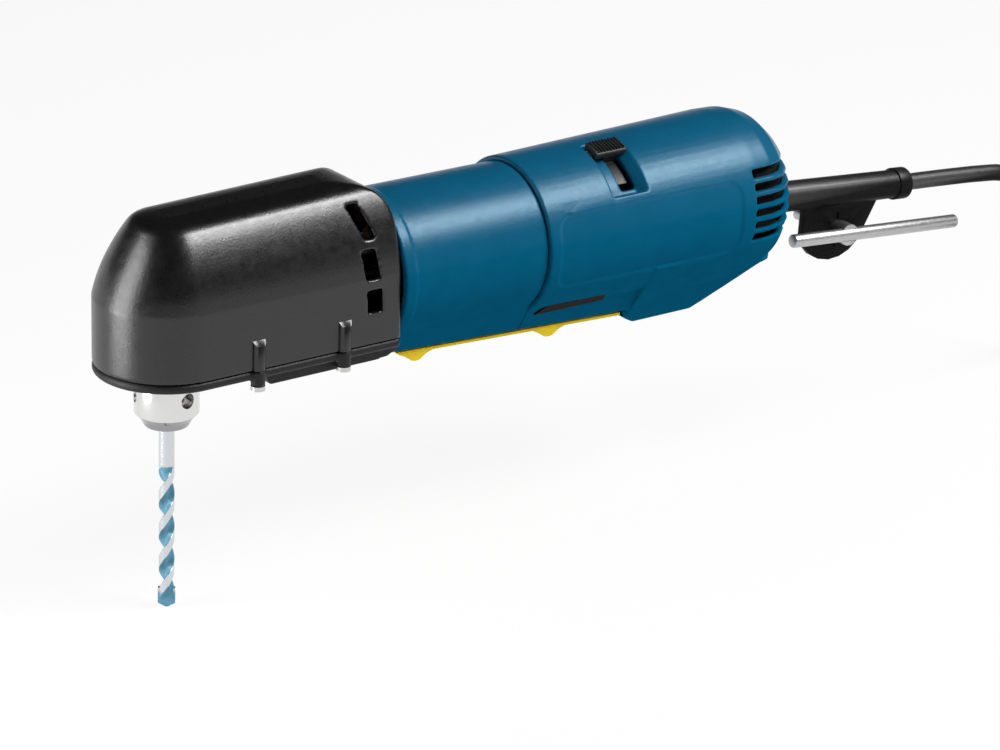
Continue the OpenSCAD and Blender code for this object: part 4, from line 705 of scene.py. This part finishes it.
bit_links.new(blue_share.outputs["Value"], bare.inputs[1])
bit_links.new(bare.outputs["Value"], bit_shader.inputs["Metallic"])
rubbed(bit_steel, 0.18, 0.36, 0.6)
settled(drill_bit, bit_steel, corner=35)
fitted(drill_bit, "spindle", "blue_bit", "drill_bit")

# The motor: an armature of stacked iron and copper wire with its fan and commutator,
# turning inside a stacked iron field, with carbon brushes in brass holders.
shaft_steel = finish("shaft_steel", (0.5, 0.5, 0.5), 0.3, metal=1.0)
rubbed(shaft_steel, 0.2, 0.4, 0.8)
painted(shaft_steel, "armature_shaft", "paddle_pin")
stacked_iron = finish("stacked_iron", (0.25, 0.25, 0.26), 0.5, metal=1.0)
rubbed(stacked_iron, 0.4, 0.6, 0.5, stretch=(6, 1, 1))
painted(stacked_iron, "armature_core", "field_stack")
# Painted shade: the copper is coloured far darker than bare copper wire, so the windings seen through the vents read as
# the shade inside the housing.
copper_painted_shade = finish("copper_painted_shade", (0.08, 0.036, 0.02), 0.5, metal=1.0)
grained(copper_painted_shade, 0.6, 0.1)
painted(copper_painted_shade, "armature_windings", "field_coils", "commutator")
inner_plastic = finish("inner_plastic", (0.03, 0.03, 0.032), 0.5)
grained(inner_plastic, 0.6, 0.05)
painted(inner_plastic, "fan", "switch_body")
brass_strip = finish("brass_strip", (0.7, 0.5, 0.2), 0.3, metal=1.0)
rubbed(brass_strip, 0.22, 0.42, 0.8)
painted(brass_strip, "brush_holders")
pressed_carbon = finish("pressed_carbon", (0.03, 0.03, 0.03), 0.6)
grained(pressed_carbon, 0.4, 0.05)
painted(pressed_carbon, "brushes")

# The front housing: a satin blue moulding round the motor, with a flange against the head
# and a keel that carries the paddle's pin.
blue_nylon = finish("blue_nylon", (0.002, 0.092, 0.18), 0.34, gloss=0.2)
mottled(blue_nylon, (0.0018, 0.088, 0.172), (0.0022, 0.096, 0.188), 9.0)
rubbed(blue_nylon, 0.3, 0.38, 2.5)
grained(blue_nylon, 0.8, 0.06)
matt_below(blue_nylon, 4, 20, 0, 0.4)
blue_nylon.node_tree.nodes["Principled BSDF"].inputs["Specular Tint"].default_value = (0.6, 0.85, 1, 1)
motor_housing = moulded(cad_copy("front_housing", "motor_housing"), blue_nylon, 0.6, 6)
fitted(motor_housing, "root", "blue_plastic", "motor_housing")

# The rear housing: the domed blue moulding over the switch, with its side panels, vents,
# the belly behind the paddle and the stepped window of the lever.
axis_z, window_r, lever_from, lever_long = 24.5, 32.7, 189.6, 15
lever_rest, lever_swing, cap_sweep, stem_sweep = 17, 30, 14, 8


def arc_form(name, middle, sweep, section, steps=24):
    """A section of places along the drill and radii, swept round the motor's axis."""
    rings = []
    for k in range(steps + 1):
        a = math.radians(middle + sweep * (k / steps - 0.5))
        rings.append([(x, -r * math.sin(a), axis_z + r * math.cos(a)) for x, r in section])
    return lofted(name, rings)


def oblong(x, long, r_in, r_out):
    """A section with straight sides for a sweep round the axis."""
    return [(x, r_in), (x + long, r_in), (x + long, r_out), (x, r_out)]


def passage(name, reach, half, low, high):
    """A block along the drill, for the room that the paddle and its arm move in."""
    return lofted(name, [[(x, y, z) for y, z in ((-half, low), (half, low), (half, high), (-half, high))]
                         for x in reach])


def slot_tree(tree, spots, size):
    """A flat bar across the drill, reaching back from every spot."""
    bar_size = tree_node(tree, "ShaderNodeCombineXYZ", X=size["length"], Y=size["width"], Z=size["height"])
    bar = tree_node(tree, "GeometryNodeMeshCube", Size=bar_size.outputs["Vector"])
    half = tree_node(tree, "ShaderNodeMath", [("operation", "MULTIPLY")])
    tree.links.new(size["length"], half.inputs[0])
    half.inputs[1].default_value = 0.5
    along = tree_node(tree, "ShaderNodeCombineXYZ", X=half.outputs["Value"])
    moved = tree_node(tree, "GeometryNodeTransform", Geometry=bar.outputs["Mesh"],
                      Translation=along.outputs["Vector"])
    dots = tree_node(tree, "GeometryNodeMeshToPoints", Mesh=spots)
    return tree_node(tree, "GeometryNodeInstanceOnPoints", Points=dots.outputs["Points"],
                     Instance=moved.outputs["Geometry"]).outputs["Instances"]


window_middle = lever_rest + lever_swing / 2
slot_from, slot_long, floor_r = 195.2, 6.8, window_r - 3.2
vent_front, vent_low, vent_pitch, vent_high, vent_count = 256.8, 12.9, 5.2, 3.2, 6
rear_housing = cad_copy("domed_housing", "rear_housing")
worked(rear_housing, "UNION", arc_form("pad", window_middle, lever_swing + cap_sweep + 12,
                                       oblong(lever_from - 3, lever_long + 6, window_r - 5.2, window_r - 1.6)))
worked(rear_housing, "DIFFERENCE",
       arc_form("window", window_middle, lever_swing + cap_sweep + 6,
                oblong(lever_from - 1, lever_long + 2, floor_r, window_r + 3)),
       arc_form("slot", window_middle, lever_swing + stem_sweep + 2,
                oblong(slot_from, slot_long, window_r - 7, window_r + 3)),
       passage("arm_way", (207.5, 217), 6, -20.5, -6), passage("toe_way", (206, 210.9), 10, -17, -8.4),
       grown("rear_slots", blue_nylon,
             [at(vent_front, 0, vent_low + vent_high / 2 + i * vent_pitch) for i in range(vent_count)], slot_tree,
             length=40 * mm, width=80 * mm, height=(vent_high + 0.04) * mm))
ramp_foot = slot_from + slot_long + 0.2
worked(rear_housing, "UNION", arc_form("ramp", window_middle, lever_swing + cap_sweep + 8, [
    (ramp_foot, floor_r - 0.6), (lever_from + lever_long + 1.6, floor_r - 0.6),
    (lever_from + lever_long + 1.6, window_r - 0.3), (lever_from + lever_long + 0.8, window_r - 0.3),
    (ramp_foot, floor_r + 0.1)]))
moulded(rear_housing, blue_nylon, 0.6, 4)
belly_from, belly_deep, belly_rise, belly_flat, belly_slant, belly_end_y = 248, -22.8, 0.337, 5.1, 0.85, 24
for point in rear_housing.data.vertices:
    x, y, z = point.co / mm - at(0, 0, 0) / mm
    lowest = belly_deep + belly_rise * (x - belly_from) + belly_slant * max(0, abs(y) - belly_flat)
    if x > belly_from and z < lowest and abs(y) < belly_end_y:
        point.co.z = at(0, 0, lowest + (1.2 if point.normal.z > 0 else 0)).z
even = rear_housing.modifiers.new("even", "SMOOTH")
even.factor, even.iterations = 0.5, 2
settled(rear_housing, blue_nylon)
fitted(rear_housing, "root", "blue_plastic", "rear_housing")
painted(screw_zinc, "housing_screws", "clamp_screws")
inlay_film = finish("inlay_film", (0.012, 0.0125, 0.013), 0.4, gloss=0.02)
rubbed(inlay_film, 0.35, 0.5, 1.5)
painted(inlay_film, "side_inlay")

# The brush ring and its lever: one black moulding that turns the brushes, its ribbed cap
# standing through a slot in the top of the housing.
lever_nylon = finish("lever_nylon", (0.016, 0.016, 0.0165), 0.42, gloss=0.4)
rubbed(lever_nylon, 0.36, 0.5, 1.5)
grained(lever_nylon, 0.5, 0.04)
brush_lever = cad_copy("brush_lever", "brush_ring")
stem_from, stem_cut, stem_low, stem_high, shield_low, shield_sweep = 190.6, 5, 27.2, 31.7, 25.4, 26
worked(brush_lever, "DIFFERENCE", arc_form("stem_side", lever_rest, cap_sweep,
                                           oblong(stem_from, stem_cut, stem_low, stem_high)))
worked(brush_lever, "UNION", arc_form("shield", lever_rest + lever_swing / 2, shield_sweep,
                                      oblong(slot_from + 0.6, 5.6, shield_low, stem_low)))
moulded(brush_lever, lever_nylon, 0.4, 2)


def ridge_tree(tree, spots, size):
    """A thin bar that lies along the swing of the lever, at every spot."""
    bar_size = tree_node(tree, "ShaderNodeCombineXYZ", X=size["width"], Y=size["length"], Z=size["height"])
    bar = tree_node(tree, "GeometryNodeMeshCube", Size=bar_size.outputs["Vector"])
    dots = tree_node(tree, "GeometryNodeMeshToPoints", Mesh=spots)
    return tree_node(tree, "GeometryNodeInstanceOnPoints", Points=dots.outputs["Points"],
                     Instance=bar.outputs["Mesh"], Rotation=(math.radians(lever_rest), 0, 0)).outputs["Instances"]


cap_r, ridge_pitch, ridge_count = 34.7, 1.5, 9
ridge_x = lever_from + (lever_long - ridge_pitch * (ridge_count - 1)) / 2
ridge_y, ridge_z = -cap_r * math.sin(math.radians(lever_rest)), axis_z + cap_r * math.cos(math.radians(lever_rest))
joined(brush_lever, grown("lever_ridges", lever_nylon,
                          [at(ridge_x + i * ridge_pitch, ridge_y, ridge_z) for i in range(ridge_count)], ridge_tree,
                          width=0.7 * mm, length=7 * mm, height=1.1 * mm))
settled(brush_lever, lever_nylon, corner=45)
fitted(brush_lever, "brush_gear", "grey_plastic", "brush_ring")

# The cord clamp: a black nylon moulding screwed down over the lead inside the housing, joined to a black cup that is
# painted shade, put behind the slots to keep the view through them dark.
clamp_and_shade_cup = cad_copy("clamp_and_shade_cup", "cord_clamp")
# Painted shade: a dark cup behind the rear slots that stands in for the shade inside the housing.
painted_shade_cup = [[(x, r * math.sin(a), axis_z + r * math.cos(a)) for a in (math.pi / 24 * k for k in range(48))]
       for x, r in ((262, 29), (270, 29), (274, 28), (279.6, 23.6), (283.2, 18.4), (284.6, 14.5))]
hollow = [[(x, r * math.sin(a), axis_z + r * math.cos(a)) for a in (math.pi / 24 * k for k in range(48))]
          for x, r in ((261, 27.4), (270, 27.4), (273.4, 26.4), (278.6, 22), (281.8, 17), (283, 13))]
worked(clamp_and_shade_cup, "UNION", worked(lofted("painted_shade_cup", painted_shade_cup), "DIFFERENCE", lofted("hollow", hollow)))
clamp_and_shade_black = finish("clamp_and_shade_black", (0.004, 0.004, 0.004), 0.6, gloss=0.1)
grained(clamp_and_shade_black, 0.8, 0.04)
settled(clamp_and_shade_cup, clamp_and_shade_black, corner=35)
fitted(clamp_and_shade_cup, "root", "black_plastic", "cord_clamp")

# The paddle: a long yellow bar on a pin, with two bumps for the fingers, that pushes the
# switch's plunger.
paddle_yellow = finish("paddle_yellow", (0.95, 0.67, 0.012), 0.38, gloss=0.15)
mottled(paddle_yellow, (0.93, 0.65, 0.01), (0.96, 0.69, 0.014), 5.0)
rubbed(paddle_yellow, 0.32, 0.45, 2.0)
grained(paddle_yellow, 0.4, 0.015)
paddle_bar = cad_copy("paddle_bar", "paddle")
keel_line = [(92, -9.3), (209.5, -14.35)]
worked(paddle_bar, "DIFFERENCE", *[lofted("shadow_gap", [[(x, side * y, z + dz) for y, dz in
       ((7.2, -1.4), (10, -1.4), (10, 3), (7.2, 3))] for x, z in keel_line]) for side in (-1, 1)])
trimmed(paddle_bar, paddle_yellow, 0.3, segments=2)
fitted(paddle_bar, "paddle", "yellow_plastic", "paddle")
white_nylon = finish("white_nylon", (0.75, 0.75, 0.72), 0.4)
grained(white_nylon, 0.5, 0.02)
painted(white_nylon, "switch_plunger")

# The cord sleeve: a tapered black rubber moulding with an end collar, and the flap under
# it that holds the chuck key. The lead runs on through it to the clamp.
sleeve_rubber = finish("sleeve_rubber", (0.009, 0.009, 0.0095), 0.42, gloss=0.25)
mottled(sleeve_rubber, (0.007, 0.007, 0.0073), (0.011, 0.011, 0.0115), 1.5)
rubbed(sleeve_rubber, 0.36, 0.48, 1.5)
grained(sleeve_rubber, 0.5, 0.04)
matt_below(sleeve_rubber, -12, -5, 0.04, 1.0)
cord_sleeve = trimmed(cad_copy("rubber_sleeve", "cord_sleeve"), sleeve_rubber, 0.6, segments=3)
fitted(cord_sleeve, "root", "black_rubber", "cord_sleeve")
painted(lead_rubber, "inner_lead")

# The chuck key: a plated steel key with a bevelled pinion, pushed through the flap, and
# the bar that slides in its cross hole.
key_plate = finish("key_plate", (0.5, 0.5, 0.5), 0.4, metal=1.0)
mottled(key_plate, (0.46, 0.46, 0.46), (0.54, 0.54, 0.54), 1.2)
rubbed(key_plate, 0.36, 0.46, 1.2)
chuck_key = trimmed(cad_copy("bevel_key", "chuck_key"), key_plate, 0.2)
fitted(chuck_key, "root", "steel", "chuck_key")
key_bar = trimmed(cad_copy("key_cross_bar", "key_bar"), key_plate, 0.6, segments=3)
fitted(key_bar, "key_bar", "steel", "key_bar")
